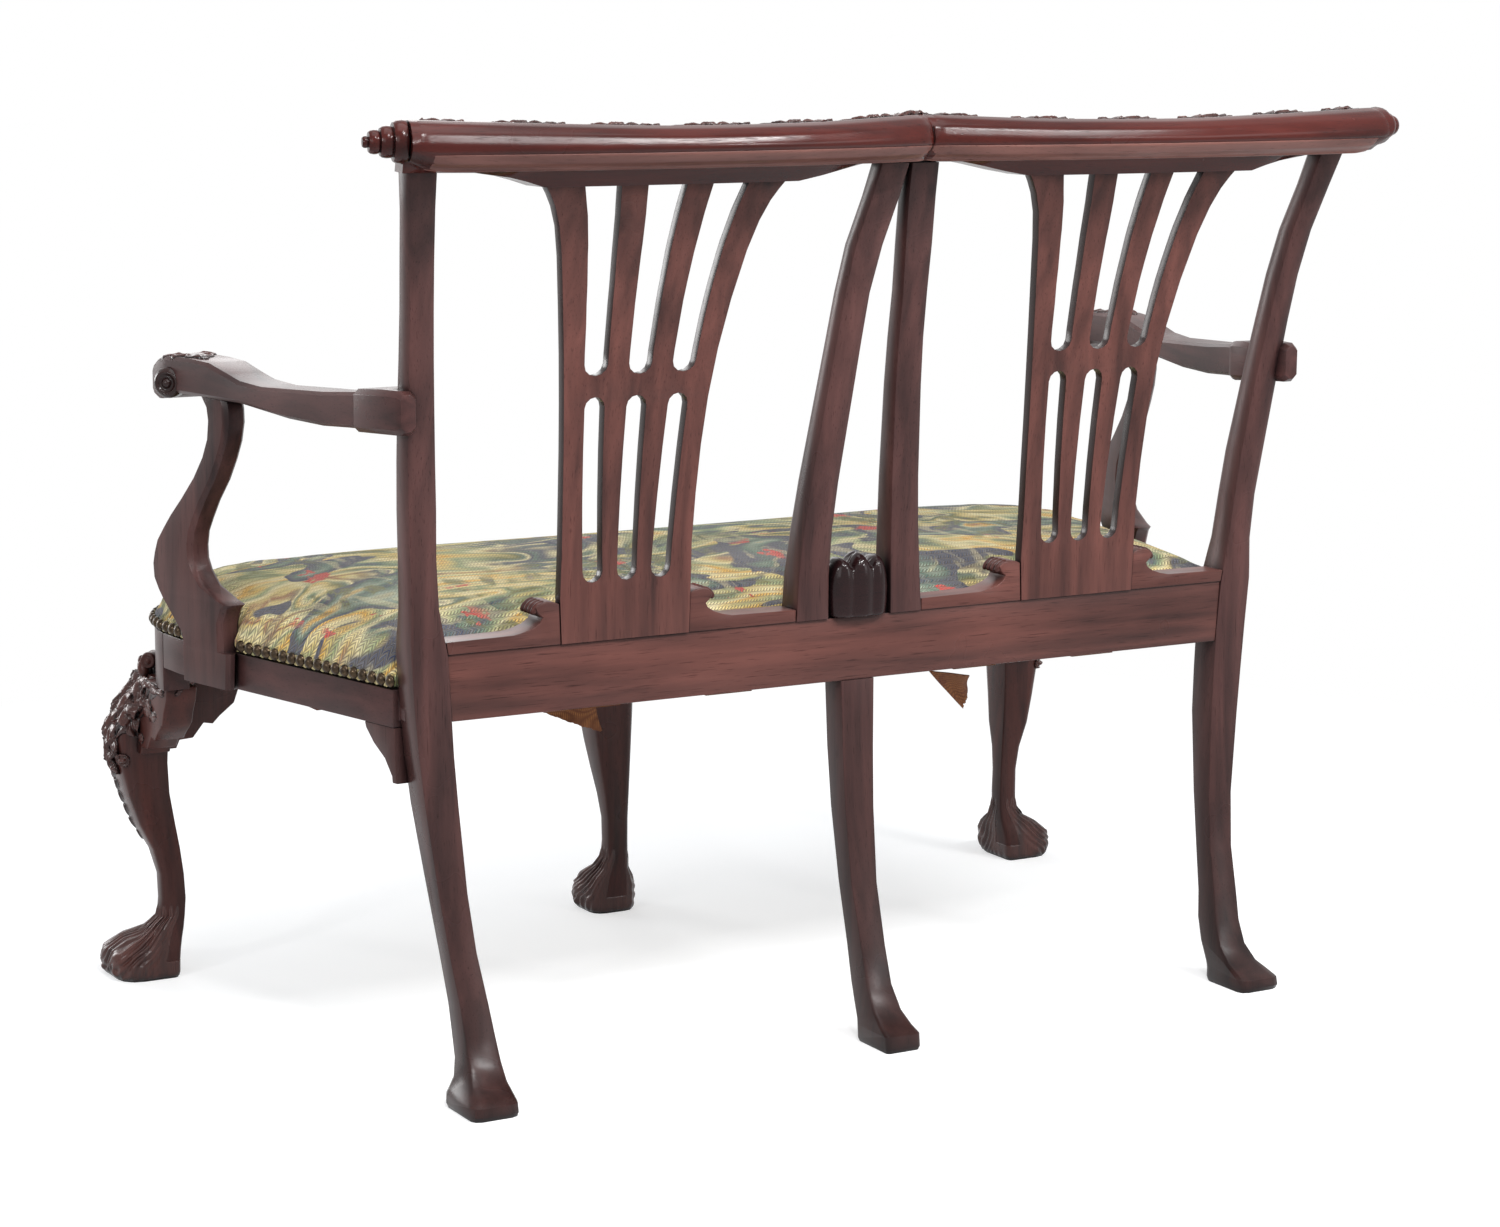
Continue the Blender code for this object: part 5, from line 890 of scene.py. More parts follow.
def tail(name, corners):
    """A cut end of webbing between four corners, with a wavy face and a frayed edge."""
    strip = bmesh.new()
    bmesh.ops.create_grid(strip, x_segments=26, y_segments=16, size=0.5)
    top_left, top_right, end_right, end_left = [bench(*corner) for corner in corners]
    for vert in strip.verts:
        u, v = vert.co.x + 0.5, vert.co.y + 0.5
        fray = 0.020 * math.sin(61.0 * u) + 0.018 * math.sin(137.0 * u)
        reach = v * (1.0 + fray) if v > FRAYED else v
        upper = top_left.lerp(top_right, u)
        lower = end_left.lerp(end_right, u)
        vert.co = upper.lerp(lower, reach)
        vert.co.y += TAIL_SAG * math.sin(math.pi * v) + 0.0012 * math.sin(9.0 * u + 3.0 * v)
        vert.co.z -= 0.0015 * math.sin(math.pi * u) * v
    bmesh.ops.recalc_face_normals(strip, faces=strip.faces)
    area = sum(face.calc_area() for face in strip.faces)
    wide = (top_left - top_right).length
    long = max((top_right - end_right).length, (top_left - end_left).length)
    bmesh.ops.solidify(strip, geom=strip.faces, thickness=TAIL_THICK)
    piece = woven(name, strip)
    print(name, "flat", round(wide, 4), round(long, 4), "area", round(area, 5))


for name, corners in TAILS.items():
    tail(name, corners)

# %% [markdown]
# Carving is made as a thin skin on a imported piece. A grid of rays is sent at the piece, each
# point is put where its ray lands, and a height is added there. Where the height is below
# zero the skin is cut away and the plain wood shows.

# %% Carved skins
SKIN_THICK = 0.0016


def surface_of(names):
    """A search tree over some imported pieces."""
    points, faces = [], []
    for name in names:
        mesh = NODES[name].data
        first = len(points)
        points.extend(vert.co.copy() for vert in mesh.vertices)
        faces.extend([first + i for i in face.vertices] for face in mesh.polygons)
    return BVHTree.FromPolygons(points, faces)


def carving(name, targets, ray, height, counts, look, lift=0.0, peak=0.0045, passes=1, cut=-0.0004):
    """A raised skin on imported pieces, from a ray and a height for each place on a grid."""
    target = surface_of(targets)
    skin = bmesh.new()
    bmesh.ops.create_grid(skin, x_segments=counts[0], y_segments=counts[1], size=0.5)
    layer = skin.verts.layers.float.new("relief")
    gone, raised = [], {}
    for vert in skin.verts:
        u, v = vert.co.x + 0.5, vert.co.y + 0.5
        origin, inward = ray(u, v)
        hit = target.ray_cast(origin, inward)[0]
        if hit is None:
            gone.append(vert)
            continue
        raised[vert] = height(u, v, hit)
        vert.co = hit - inward * raised[vert]
        # The relief is kept on each point; carved looks paint its low parts darker, as shade.
        vert[layer] = (raised[vert] + lift) / peak
    sunk = [face for face in skin.faces if all(raised.get(v, -1.0) < cut for v in face.verts)]
    bmesh.ops.delete(skin, geom=sunk, context="FACES")
    bmesh.ops.delete(skin, geom=[v for v in gone if v.is_valid], context="VERTS")
    bmesh.ops.delete(skin, geom=[v for v in skin.verts if not v.link_faces], context="VERTS")
    bmesh.ops.remove_doubles(skin, verts=skin.verts, dist=WELD_REACH)
    relax(skin, [v for v in skin.verts if not v.is_boundary], passes, 0.4)
    skin.normal_update()
    probe = max(skin.faces, key=lambda face: face.calc_area())
    if probe.normal.dot(target.find_nearest(probe.calc_center_median())[1]) < 0.0:
        bmesh.ops.reverse_faces(skin, faces=skin.faces)
    bmesh.ops.solidify(skin, geom=skin.faces, thickness=SKIN_THICK)
    shade_smooth(skin)
    piece = polished(name, skin, look)
    print(name, "faces", len(piece.data.polygons))


print("carved skins are", SKIN_THICK, "thick")

# %% [markdown]
# A leaf is the basic motif: lobed edges, flutes that sweep back from a midrib, and a raised
# rim. Measures that change along a piece are kept as rows, and read straight between two
# neighbours.

# %% The leaf, and rows of measures
def leaf(u, v, lobes=4.0, depth=0.20):
    """Height from 0 to 1 of a lobed leaf: u runs from its base to its tip, v across."""
    if not 0.0 < u < 1.0:
        return -1.0
    width = math.sin(math.pi * u ** 0.72) ** 0.75 * (1.0 - depth + depth * math.cos(math.tau * lobes * u))
    if width < 0.02:
        return -1.0
    across = abs(v) / width
    if across > 1.0:
        return -1.0
    flute = 0.62 + 0.38 * math.cos(math.tau * lobes * (u - 0.16 * across) + 0.6)
    rim = 1.0 + 0.35 * math.exp(-(((across - 0.82) / 0.12) ** 2))
    rib = -0.45 * math.exp(-((across / 0.14) ** 2))
    edge = min(1.0, (1.0 - across) / 0.12)
    return max(0.0, (0.30 + 0.70 * flute) * rim + rib) * edge


def table(rows, key, column):
    """A value read from rows of numbers, straight between its two neighbours."""
    for first, second in zip(rows, rows[1:]):
        if first[0] <= key <= second[0]:
            share = (key - first[0]) / (second[0] - first[0])
            return first[column] + share * (second[column] - first[column])
    return rows[0][column] if key < rows[0][0] else rows[-1][column]


print("leaf height at its middle", round(leaf(0.4, 0.2), 3))

# %% [markdown]
# The crest rail is one piece for two chair backs, and its back dips to a notch in the
# middle where they meet. A joined copy is cut across near the middle, its back is drawn in
# there, and the edge at the middle stays sharp.

# %% The crest rail with its notch
NOTCH_HALF = 0.012
NOTCH_DEPTH = 0.0030
NOTCH_FROM_Y = 0.100
NOTCH_CUTS = (-1.0, -0.7, -0.45, -0.25, -0.1, 0.0, 0.1, 0.25, 0.45, 0.7, 1.0)
crest = joined("crest_rail")
for share in NOTCH_CUTS:
    everything = crest.verts[:] + crest.edges[:] + crest.faces[:]
    bmesh.ops.bisect_plane(crest, geom=everything, plane_co=(share * NOTCH_HALF, 0, 0), plane_no=(1, 0, 0))
for vert in crest.verts:
    reach = abs(vert.co.x) / NOTCH_HALF
    if reach < 1.0 and vert.co.y > SHIFT_Y + NOTCH_FROM_Y:
        vert.co.y -= NOTCH_DEPTH * (1.0 - reach) ** 2
crest.normal_update()
for edge in crest.edges:
    middle = all(abs(vert.co.x) < 0.0002 for vert in edge.verts)
    edge.smooth = len(edge.link_faces) == 2 and edge.calc_face_angle() < SMOOTH_BELOW and not middle
shade_smooth(crest)
crest_piece = polished("crest_rail_notched", crest, CREST)
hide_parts("crest_rail")
print("crest faces", len(crest_piece.data.polygons))

# %% [markdown]
# The crest rail's top and front edge carry low leaves that run outwards from the middle,
# with a small boss between each pair, and a fine fillet behind them. A larger leaf stands
# at the middle. The rays come in from the front and the top, square to the rounded rail.

# %% Carve the crest rail
CREST_LINE = [
    (0.0, 0.090), (0.02, 0.0945), (0.06, 0.104), (0.12, 0.1135), (0.2, 0.122),
    (0.28, 0.125), (0.36, 0.1245), (0.44, 0.120), (0.5, 0.114), (0.566, 0.104),
]
CREST_HALF = 0.556
CREST_Z = 0.951
CREST_TURNS = (176.0, 64.0)
CREST_REACH = 0.09
FILLET_V = 0.955
LEAF_STEP = 0.0505
SIDES = (("left", 1.0), ("right", -1.0))


def ray_round_crest(x, y, degrees):
    """A ray at the middle line of the crest rail, from a turn up from level."""
    turn = math.radians(degrees)
    outward = Vector((0.0, math.cos(turn), math.sin(turn)))
    return bench(x, y, CREST_Z) + outward * CREST_REACH, -outward


def crest_ray(side):
    """Rays at one half of the crest rail, from its lower front edge over to its top."""
    def ray(u, v):
        x = u * CREST_HALF
        degrees = CREST_TURNS[0] + (CREST_TURNS[1] - CREST_TURNS[0]) * v
        return ray_round_crest(side * x, table(CREST_LINE, x, 1), degrees)
    return ray


def crest_height(u, v, place):
    """Leaves in a row, bosses between them and a fillet behind."""
    x = u * CREST_HALF
    behind = v - FILLET_V
    fillet = 0.0010 * math.exp(-((behind / 0.020) ** 2)) - 0.0009 + 0.0006 * (abs(behind) < 0.03)
    best = -1.0
    step = int(x / LEAF_STEP)
    for index in (step - 1, step, step + 1):
        local = x - index * LEAF_STEP
        lean = 1.0 if index % 2 else -1.0
        middle = 0.50 + 0.17 * lean * math.cos(math.pi * local / LEAF_STEP)
        best = max(best, leaf(local / (LEAF_STEP * 1.25), (v - middle) / 0.30, 4.0, 0.30))
        tendril = leaf(local / (LEAF_STEP * 0.8) - 0.15, (v - middle + 0.42 * lean) / 0.16, 2.0, 0.25)
        best = max(best, 0.8 * tendril)
        away = math.hypot(local / 0.0075, (v - middle) / 0.13)
        if away < 1.0:
            best = max(best, 0.5 + 0.7 * math.cos(math.pi * away) ** 2)
    if x < 0.030:
        best = max(best, 1.25 * leaf(0.12 + 0.86 * v, x / 0.026, 4.0, 0.22))
    if best < 0.02:
        return fillet
    return max(fillet, -0.0006 + 0.0042 * best * min(1.0, (1.0 - u) / 0.01 + 0.2))


for label, side in SIDES:
    carving("crest_leaves_" + label, ["crest_rail"], crest_ray(side), crest_height, (520, 44), CARVED)

# %% [markdown]
# Behind, the rounded upper part of the crest overhangs a flatter band with a small lip, and
# a fine bead runs along the band's lower edge. Both are skins on the imported rail too, and
# the band is painted paler, a painted reflection of the floor below. The rail's ends are cut
# on a slant, so the rays lean with it there, and the skins sink at the notch.

# %% Lip and bead behind the crest
LIP_TURNS, BAND_TURNS = (64.0, 3.0), (3.4, -33.0)
LIP_SHORT, BAND_SHORT = 0.0008, 0.013
END_TURN_X, END_TURN_LENGTH = 0.45, 0.1075
END_SLANT = 0.2493
CREST_RADIUS = 0.042
CREST_FRONT_Y = 0.0555
END_FADE = 0.992
BEAD_TURN = -27.0


def back_ray(side, turns, short):
    """Rays at the back of one half of the crest rail, between two turns from level."""
    def ray(u, v):
        x = 0.0003 + u * (CREST_HALF - short)
        degrees = turns[0] + (turns[1] - turns[0]) * v
        y = table(CREST_LINE, x, 1)
        depth = y + CREST_RADIUS * math.cos(math.radians(degrees)) - CREST_FRONT_Y
        slant = max(0.0, x - END_TURN_X) / END_TURN_LENGTH * END_SLANT * depth
        return ray_round_crest(side * (x + slant), y, degrees)
    return ray


def back_fade(u):
    """How deep a skin sinks at the notch and at the rail's end."""
    notch = NOTCH_DEPTH * max(0.0, 1.0 - u * CREST_HALF / NOTCH_HALF) ** 2
    return notch + 0.0024 * max(0.0, (u - END_FADE) / (1.0 - END_FADE)) ** 2


def lip_height(u, v, place):
    """A skin that swells towards its lower edge and turns in there."""
    swell = 0.0006 + 0.0014 * v ** 4
    turned_in = 0.0010 * max(0.0, 1.0 - v / 0.05) + 0.003 * max(0.0, (v - 0.95) / 0.05) ** 2
    return swell - turned_in - back_fade(u)


def band_height(u, v, place):
    """A flat band down to a bead."""
    turn = BAND_TURNS[0] + (BAND_TURNS[1] - BAND_TURNS[0]) * v
    bead = 0.0020 * math.exp(-(((turn - BEAD_TURN) / 2.6) ** 2))
    return 0.0003 + bead - 0.0009 * (turn < -31.0) - back_fade(u)


for label, side in SIDES:
    lip_ray, band_ray = back_ray(side, LIP_TURNS, LIP_SHORT), back_ray(side, BAND_TURNS, BAND_SHORT)
    carving("crest_lip_" + label, ["crest_rail"], lip_ray, lip_height, (240, 44), CREST, passes=14, cut=-0.01)
    # The band's paler look is a painted reflection of the floor.
    carving("crest_band_" + label, ["crest_rail"], band_ray, band_height, (240, 40), BAND_PAINTED_LIGHT, passes=5, cut=-0.01)

# %% [markdown]
# Each front leg has leafage on its knee, which narrows to a chain of husks down the corner.
# The rays point at the leg's middle line all the way round. The leafage hangs from the
# outer corner, and is widest at the top, where it wraps round to the back.

# %% The knees' leafage
CORNER_LEG = [
    (0.0, 0.5995, -0.571), (0.018, 0.600, -0.5745), (0.044, 0.5885, -0.5685), (0.07, 0.5695, -0.5535),
    (0.118, 0.5692, -0.5532), (0.147, 0.574, -0.558), (0.177, 0.583, -0.567), (0.21, 0.590, -0.574),
    (0.268, 0.5948, -0.5788), (0.312, 0.585, -0.569), (0.36, 0.560, -0.545),
]
MIDDLE_LEG = [
    (0.0, 0.0, -0.5785), (0.018, 0.0, -0.5808), (0.044, 0.0, -0.572), (0.07, 0.0, -0.5537), (0.118, 0.0, -0.553),
    (0.21, 0.0, -0.5715), (0.275, 0.0, -0.5795), (0.335, 0.0, -0.573), (0.376, 0.0, -0.562),
]
LEG_REACH = 0.12
KNEE_TOP, KNEE_TIP = 0.362, 0.150
KNEE_LEAVES = [
    (0.0000, 0.362, 0.0, 0.140, 0.0115, 0.0), (0.0100, 0.358, 83.0, 0.112, 0.0150, 0.35),
    (0.0080, 0.350, 66.0, 0.100, 0.0165, 0.45), (0.0060, 0.337, 50.0, 0.094, 0.0165, 0.5),
    (0.0040, 0.316, 34.0, 0.080, 0.0140, 0.5), (0.0020, 0.298, 22.0, 0.066, 0.0110, 0.4),
]
KNEE_EDGE = [(0.238, 0.010), (0.255, 0.024), (0.279, 0.044), (0.312, 0.080), (0.345, 0.116), (0.363, 0.124)]
HUSK_TOP, HUSK_STEP = 0.238, 0.0145
FRONT_LEGS = [
    ("left", CORNER_LEG, 1.0, 315.0, 1.0),
    ("right", CORNER_LEG, -1.0, 315.0, 1.0),
    ("middle", MIDDLE_LEG, 1.0, 270.0, 0.5),
]


def leg_ray(rows, side, low, high):
    """Rays at a leg's middle line, all the way round and between two heights."""
    def ray(u, v):
        z = low + (high - low) * v
        turn = math.tau * u
        outward = Vector((side * math.cos(turn), math.sin(turn), 0.0))
        centre = bench(side * table(rows, z, 1), table(rows, z, 2), z)
        return centre + outward * LEG_REACH, -outward
    return ray


def knee_height(leg, rows, sign, front, share):
    """Leaves that sweep down and out from a leg's front arris, then husks down the arris."""
    surface = surface_of(leg)
    ahead = Vector((sign * math.cos(math.radians(front)), math.sin(math.radians(front)), 0.0))
    found = {}

    def arris(z):
        if z not in found:
            centre = bench(sign * table(rows, z, 1), table(rows, z, 2), z)
            found[z] = surface.ray_cast(centre + ahead * LEG_REACH, -ahead)[0] or centre
        return found[z]

    def height(u, v, place):
        z = KNEE_TIP + (KNEE_TOP - KNEE_TIP) * v
        turn = abs((math.degrees(math.tau * u) - front + 180.0) % 360.0 - 180.0)
        corner = arris(round(z, 4))
        side = (abs(place.x - corner.x) + abs(place.y - corner.y)) / share
        best = -1.0
        if turn < 168.0:
            for order, (s0, z0, lean, length, half, bend) in enumerate(KNEE_LEAVES):
                out, down = side - s0, z0 - z
                sine, cosine = math.sin(math.radians(lean)), math.cos(math.radians(lean))
                along_leaf = (out * sine + down * cosine) / length
                over = (out * cosine - down * sine) / half + bend * along_leaf ** 2 - bend * 0.25
                best = max(best, leaf(along_leaf, over, 4.0, 0.26) * (1.0 - 0.04 * order))
                tip_out, tip_down = s0 + length * sine * 0.96, z0 - length * cosine * 0.96
                curl = math.hypot(side - tip_out, z - tip_down) / 0.0068
                if order and curl < 1.0:
                    best = max(best, 0.35 + 0.65 * math.cos(math.pi * (curl - 0.15)) ** 2)
            edge = table(KNEE_EDGE, z, 1) - 0.015 * (1.0 - abs(math.cos(math.pi * (z - 0.345) / 0.033)))
            if z > KNEE_EDGE[0][0] and side < edge:
                best = max(best, 0.24 + 0.16 * math.cos(side * 560.0 - z * 420.0))
        chain = (HUSK_TOP - z) / HUSK_STEP
        if best < 0.0 and 0.0 < chain < 5.8 and turn < 30.0:
            local = chain % 1.0
            width = 22.0 * (1.0 - 0.10 * chain) * math.sin(math.pi * local ** 0.7) ** 0.6 + 0.01
            if turn < width:
                best = 0.62 * (1.0 - (turn / width) ** 2) * (0.7 + 0.3 * math.cos(math.tau * 2.0 * turn / width))
        return -0.001 if best < 0.0 else -0.0004 + 0.0086 * best
    return height


print("front legs", [leg[0] for leg in FRONT_LEGS], "knee leaves", len(KNEE_LEAVES))

# %% [markdown]
# Each front leg ends in a hairy paw. Its hair sweeps down and forwards in tufts to four
# toes with claws, and its heel is plain. The knee and the paw of each leg are carved
# together.

# %% Carve the knees and paws
PAW_LOW, PAW_TOP = 0.002, 0.088


def paw_height(front):
    """Hair that sweeps down and forwards to four toes with claws, and a plain heel."""
    def height(u, v, place):
        z = PAW_LOW + (PAW_TOP - PAW_LOW) * v
        turn = (math.degrees(math.tau * u) - front + 180.0) % 360.0 - 180.0
        away = abs(turn)
        forward = max(0.0, min(1.0, (150.0 - away) / 45.0))
        wander = noise.noise(place * 34.0) * 1.1
        phase = away / 15.0 - 1.9 * math.sin((z - 0.015) * 34.0) + wander
        hair = (0.5 + 0.5 * math.cos(math.tau * phase)) ** 0.8
        tuft = PAW_TOP - 0.016 + 0.014 * abs(math.cos(math.pi * away / 30.0))
        if z > tuft or (away > 158.0 and z > 0.020):
            return -0.001
        lift = 0.0034 * hair * min(1.0, (tuft - z) / 0.026) * min(1.0, z / 0.02 + 0.3)
        toes = 0.0
        for middle in (-72.0, -24.0, 24.0, 72.0):
            near = ((turn - middle) / 16.0) ** 2
            toes = max(toes, 0.0050 * math.exp(-near - ((z - 0.0255) / 0.0095) ** 2))
            toes = max(toes, 0.0046 * math.exp(-((turn - middle) / 7.0) ** 2 - ((z - 0.0085) / 0.0050) ** 2))
        gap = 0.0
        for middle in (-48.0, 0.0, 48.0):
            gap = max(gap, 0.0026 * math.exp(-(((turn - middle) / 6.0) ** 2)) * max(0.0, 1.0 - z / 0.036))
        heel = 0.0007 * (0.5 + 0.5 * math.cos(away * 0.42)) * max(0.0, 1.0 - z / 0.016) * (1.0 - forward)
        blend = min(1.0, (tuft - z) / 0.010)
        return -0.0003 + 0.0007 * blend + forward * (lift * (1.0 - 0.8 * min(1.0, toes / 0.004)) + toes - gap) + heel
    return height


for label, rows, side, front, share in FRONT_LEGS:
    leg = ["front_leg_" + label]
    if label != "middle":
        leg += ["knee_bracket_side_" + label, "knee_bracket_front_" + label]
    knee_ray = leg_ray(rows, side, KNEE_TIP, KNEE_TOP)
    paw_ray = leg_ray(rows, side, PAW_LOW, PAW_TOP)
    leafage = knee_height(leg, rows, side, front, share)
    carving("knee_leaves_" + label, leg, knee_ray, leafage, (300, 170), CARVED, lift=0.0004, peak=0.0076)
    carving("paw_hair_" + label, leg[:1], paw_ray, paw_height(front), (280, 64), CARVED, lift=0.0020)

# %% [markdown]
# A small volute sits on top of each corner knee, a short drum with a boss at either end. A
# crown of three rounded lobes leans out in front of it.

# %% Knee volutes and crowns
def turned_boss(name, profile, centre, axis, steps, look):
    """A spun shape whose axis is turned to a direction."""
    shape = spun(profile, steps)
    turn = Vector(axis).normalized().to_track_quat("Z", "Y").to_matrix().to_4x4()
    bmesh.ops.transform(shape, matrix=Matrix.Translation(centre) @ turn, verts=shape.verts)
    polished(name, shape, look)


def rounded_pip():
    """A small round pip of radius 1, to be stretched into ribs and lobes."""
    pip = bmesh.new()
    bmesh.ops.create_uvsphere(pip, u_segments=12, v_segments=8, radius=1.0)
    shade_smooth(pip)
    return pip


VOLUTE_END = [
    (0.0, 0.0135), (0.0024, 0.0130), (0.0040, 0.0114), (0.0054, 0.0108),
    (0.0072, 0.0120), (0.0088, 0.0104), (0.0096, 0.0070), (0.0090, 0.0),
]
VOLUTE = VOLUTE_END + [(radius, -height) for radius, height in reversed(VOLUTE_END[:-1])]
CROWN_LOBES = ((-38.0, 0.0125), (0.0, 0.0150), (38.0, 0.0125))
CROWN_RADIUS = 0.0075
for label, side in SIDES:
    centre = bench(side * 0.5850, -0.5520, 0.3650)
    turned_boss("knee_volute_" + label, VOLUTE, centre, (side * 0.70, 0.70, 0.0), 28, LEG)
    lobes = []
    tipped = Matrix.Rotation(side * math.radians(24.0), 4, "Y")
    for turn, reach in CROWN_LOBES:
        place = bench(side * (0.5900 + 0.00010 * turn), -0.5570 + 0.00010 * turn, 0.3560)
        fanned = Matrix.Rotation(math.radians(turn), 4, (side * 0.7, -0.7, 0.0))
        stretched = Matrix.Diagonal((CROWN_RADIUS, CROWN_RADIUS, reach, 1.0))
        lobes.append(Matrix.Translation(place) @ (tipped @ fanned) @ stretched)
    polished("knee_crown_" + label, copies(rounded_pip(), lobes), LEG)

# %% [markdown]
# The arms end in a scroll with a boss in a raised ring, turned a little to the back, and a
# narrow leaf lies on top and points along the arm.

# %% Arm scrolls and leaves
SCROLL = [
    (0.0, 0.0112), (0.0022, 0.0108), (0.0042, 0.0094), (0.0052, 0.0072), (0.0060, 0.0062),
    (0.0078, 0.0062), (0.0096, 0.0078), (0.0110, 0.0094), (0.0124, 0.0094), (0.0136, 0.0076),
    (0.0150, 0.0066), (0.0162, 0.0046), (0.0166, 0.0010), (0.0166, -0.0080), (0.0, -0.0080),
]
ARM_LEAF_X, ARM_LEAF_HALF = 0.5945, 0.030
ARM_LEAF_Y, ARM_LEAF_LENGTH = -0.4265, 0.094
ABOVE_ARM_Z = 0.80


def arm_ray(side):
    """Rays down at the top of an arm's end."""
    def ray(u, v):
        y = ARM_LEAF_Y + ARM_LEAF_LENGTH * v
        x = ARM_LEAF_X + ARM_LEAF_HALF * (2.0 * u - 1.0) + 0.06 * (y + 0.40)
        return bench(side * x, y, ABOVE_ARM_Z), Vector((0.0, 0.0, -1.0))
    return ray


def arm_height(u, v, place):
    """One pointed leaf with serrated edges."""
    height = leaf(0.10 + 0.90 * v, (u - 0.5) / 0.52, 5.0, 0.22)
    return -0.0006 if height < 0.0 else -0.0003 + 0.0034 * height


for label, side in SIDES:
    centre = bench(side * 0.6215, -0.3800, 0.6945)
    turned_boss("arm_scroll_" + label, SCROLL, centre, (side * 0.72, 0.66, 0.0), 40, DARK_EDGE)
    carving("arm_leaf_" + label, ["arm_" + label], arm_ray(side), arm_height, (60, 110), CARVED)

# %% [markdown]
# Each arm ends at its stile in a slightly thicker rounded block with a crisp front edge. A
# copy of the arm is cut there, its open end is closed, and it is pushed out and bevelled.

# %% Blocks at the arms' rear ends
BLOCK_FRONT = -0.034
BLOCK_PROUD = 0.00442
BLOCK_ROUND = 0.0058
SHARP = math.radians(35.0)


def split_large(built):
    """Cut faces with more than four corners into triangles."""
    bmesh.ops.triangulate(built, faces=[face for face in built.faces if len(face.verts) > 4])


for name in both("arm"):
    end = joined(name)
    everything = end.verts[:] + end.edges[:] + end.faces[:]
    cut_at = bench(0, BLOCK_FRONT, 0)
    bmesh.ops.bisect_plane(end, geom=everything, plane_co=cut_at, plane_no=(0, 1, 0), clear_inner=True)
    bmesh.ops.holes_fill(end, edges=[edge for edge in end.edges if edge.is_boundary], sides=0)
    level = math.radians(3.0)
    bmesh.ops.dissolve_limit(end, angle_limit=level, verts=end.verts, edges=end.edges, delimit=set())
    end.normal_update()
    pushed = [(vert, vert.co + vert.normal * BLOCK_PROUD) for vert in end.verts]
    for vert, place in pushed:
        vert.co = place
    end.normal_update()
    sharp = [edge for edge in end.edges if len(edge.link_faces) == 2 and edge.calc_face_angle() > SHARP]
    bmesh.ops.bevel(
        end, geom=sharp, offset=BLOCK_ROUND, offset_type="OFFSET", segments=4, profile=0.5, affect="EDGES",
        clamp_overlap=True,
    )
    split_large(end)
    piece = polished(name.replace("arm", "arm_block"), end, DEEP)
    shade_below_angle(piece)
    print(piece.name, "faces", len(piece.data.polygons))

# %% [markdown]
# The scrolled tops of the four shoes beside the splats are ribbed: four small ribs lie side
# by side over each scroll's nose. One rib is a stretched sphere, repeated across the shoe.

# %% Ribs on the shoes
NOSES = (
    ("left_outer", 0.3790, 1.0), ("left_inner", 0.1824, -1.0),
    ("right_inner", -0.1824, 1.0), ("right_outer", -0.3790, -1.0),
)
RIB_SIZE = Matrix.Diagonal((0.0098, 0.0035, 0.0048, 1.0))
RIB_STEP = 0.0076
for label, nose, direction in NOSES:
    lean = Matrix.Rotation(direction * math.radians(38.0), 4, "Y")
    spots = [bench(nose, -0.0252 + RIB_STEP * index, 0.4925) for index in range(4)]
    ribs = [Matrix.Translation(spot) @ lean @ RIB_SIZE for spot in spots]
    polished("shoe_ribs_" + label, copies(rounded_pip(), ribs), LEG)
print("ribbed shoes", len(NOSES))

# %% [markdown]
# The splats are pierced with slots whose edges are rounded. In a joined copy the flat
# triangles are dissolved, the rims get a wide bevel, and the walls of the slots take the
# dark look: near-black mahogany that paints the shade inside the slots.

# %% Splats with rounded slots
RIM_ROUND = 0.0030
RIM_ANGLE = math.radians(50.0)


def faces_front(face):
    """Whether a splat's face lies in its front or its back."""
    return abs(face.normal.y) > 0.6


def is_rim(edge):
    """Whether a splat's edge lies between its front or back and a wall."""
    if len(edge.link_faces) != 2:
        return False
    first, second = (faces_front(face) for face in edge.link_faces)
    return first != second and edge.calc_face_angle() > RIM_ANGLE


for name in both("splat"):
    splat = joined(name)
    level = math.radians(1.5)
    bmesh.ops.dissolve_limit(splat, angle_limit=level, verts=splat.verts, edges=splat.edges, delimit=set())
    splat.normal_update()
    rims = [edge for edge in splat.edges if is_rim(edge)]
    # Walls, and the rims bevelled below, take the second look: painted shade inside the slots.
    for face in splat.faces:
        face.material_index = 0 if faces_front(face) else 1
    bmesh.ops.bevel(
        splat, geom=rims, offset=RIM_ROUND, offset_type="OFFSET", segments=3, profile=0.5, affect="EDGES",
        clamp_overlap=True, material=1,
    )
    rim_count = len(rims)
    split_large(splat)
    piece = polished(name + "_round", splat, UPRIGHT, DARK_EDGE)
    shade_below_angle(piece)
    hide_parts(name)
    print(name, "rims", rim_count, "faces", len(piece.data.polygons))

# %% [markdown]
# The carved block between the inner stiles swells in three upright lobes, each with a rounded
# head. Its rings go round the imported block's box, and a wave across x presses in two valleys.

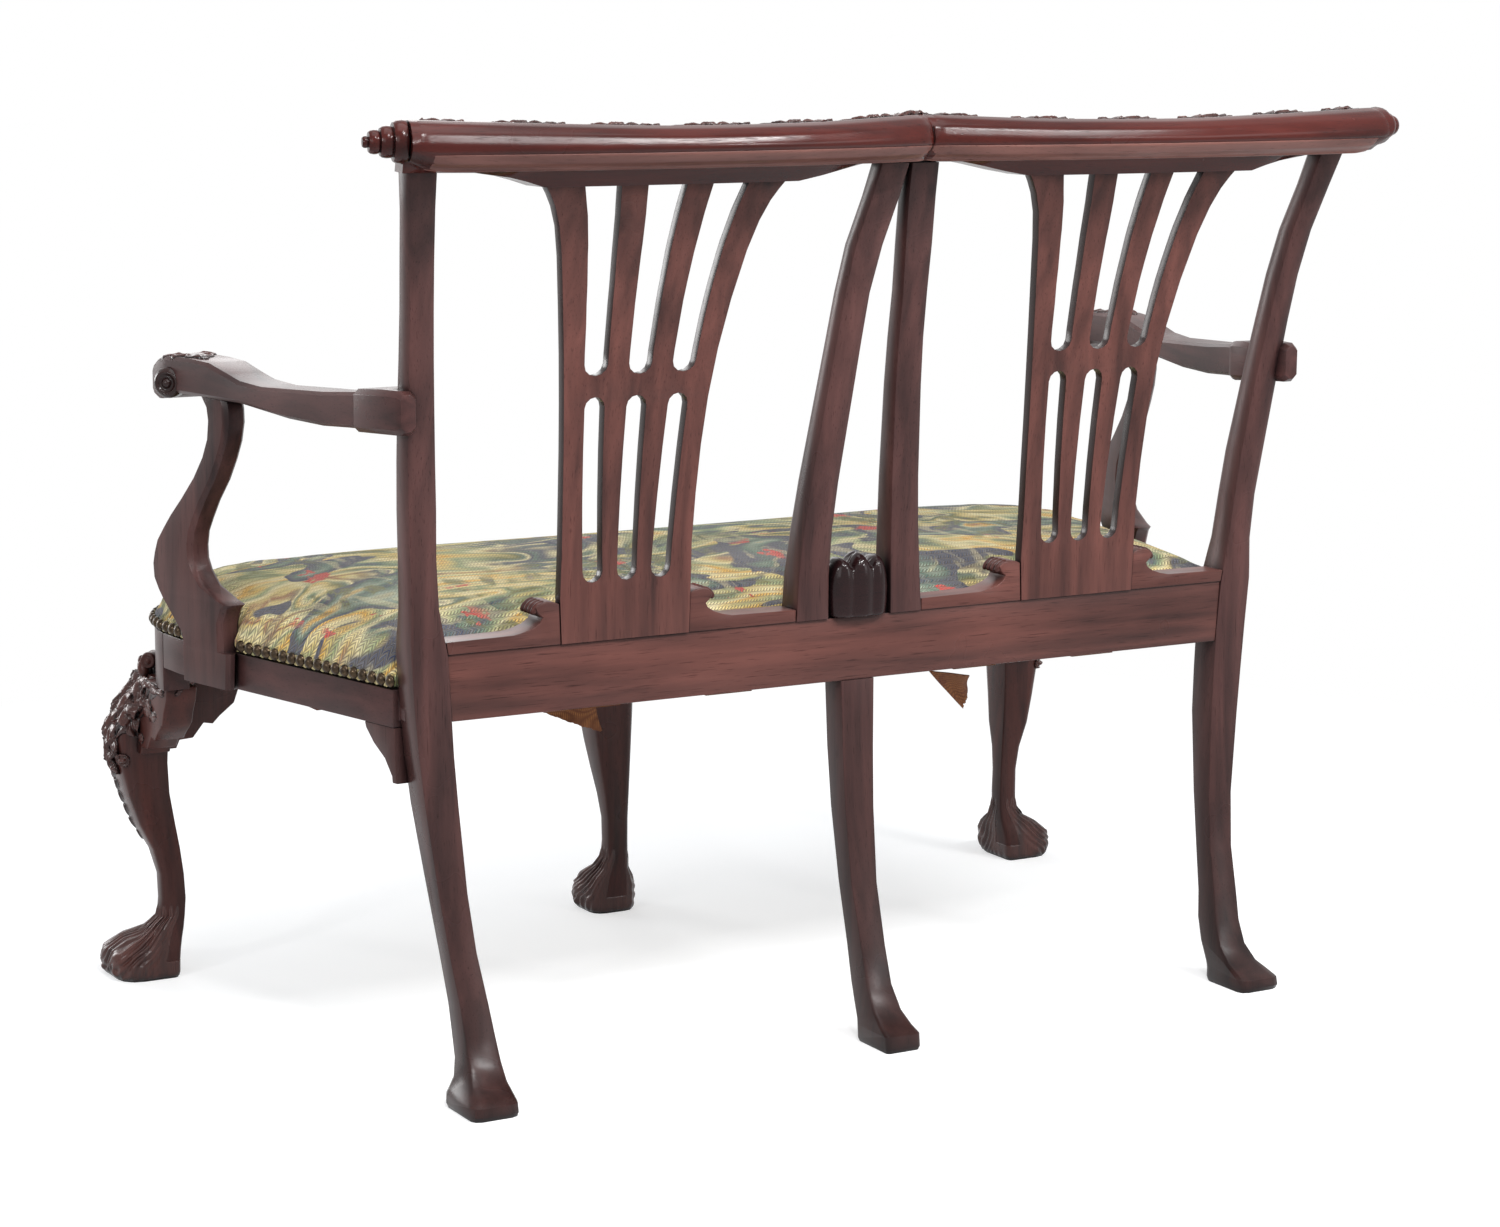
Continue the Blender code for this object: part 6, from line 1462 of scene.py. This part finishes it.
# %% The carved block
LOBE_LINE = [
    (0.0, 0.0, 0.0), (0.08, 0.93, 0.0), (0.16, 0.955, 0.06), (0.30, 0.985, 0.24), (0.45, 1.0, 0.46),
    (0.58, 0.96, 0.66), (0.70, 0.88, 0.82), (0.80, 0.72, 0.92), (0.90, 0.42, 0.985), (1.0, 0.0, 1.0),
]
LOBE_VALLEY = 0.20
LOBE_DIP = 0.26
LOBE_CORNER = 0.72
LOBE_RINGS, LOBE_SIDES = 48, 120
low, high = (Vector(point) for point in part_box("carved_block"))
middle, half = (low + high) / 2, (high - low) / 2


def block_spot(along_line, turn):
    """A point of the block's surface, from a share of its outline and a turn about z."""
    width, height = table(LOBE_LINE, along_line, 1), table(LOBE_LINE, along_line, 2)
    across, deep = (math.copysign(abs(part) ** LOBE_CORNER, part) for part in (math.cos(turn), math.sin(turn)))
    lobe = abs(math.sin(1.5 * math.pi * (across * width + 1.0))) ** 0.7
    y = deep * width * (1.0 - LOBE_VALLEY * (1.0 - lobe))
    z = height * (1.0 - LOBE_DIP * (1.0 - lobe) * height ** 2)
    return Vector((middle.x + half.x * across * width, middle.y + half.y * y, low.z + 2.0 * half.z * z))


lobed = bmesh.new()
rings = []
for step in range(1, LOBE_RINGS):
    spots = [block_spot(step / LOBE_RINGS, math.tau * k / LOBE_SIDES) for k in range(LOBE_SIDES)]
    rings.append([lobed.verts.new(spot) for spot in spots])
for lower, upper in zip(rings, rings[1:]):
    for k in range(LOBE_SIDES):
        after = (k + 1) % LOBE_SIDES
        lobed.faces.new((lower[k], lower[after], upper[after], upper[k]))
for ring, share in ((rings[0], 0.0), (rings[-1], 1.0)):
    pole = lobed.verts.new(block_spot(share, 0.0))
    for k in range(LOBE_SIDES):
        lobed.faces.new((ring[k], ring[(k + 1) % LOBE_SIDES], pole))
relax(lobed, lobed.verts, 4)
bmesh.ops.recalc_face_normals(lobed, faces=lobed.faces)
shade_smooth(lobed)
block = polished("carved_block_round", lobed, GLOSSY)
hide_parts("carved_block")
print("carved block faces", len(block.data.polygons))
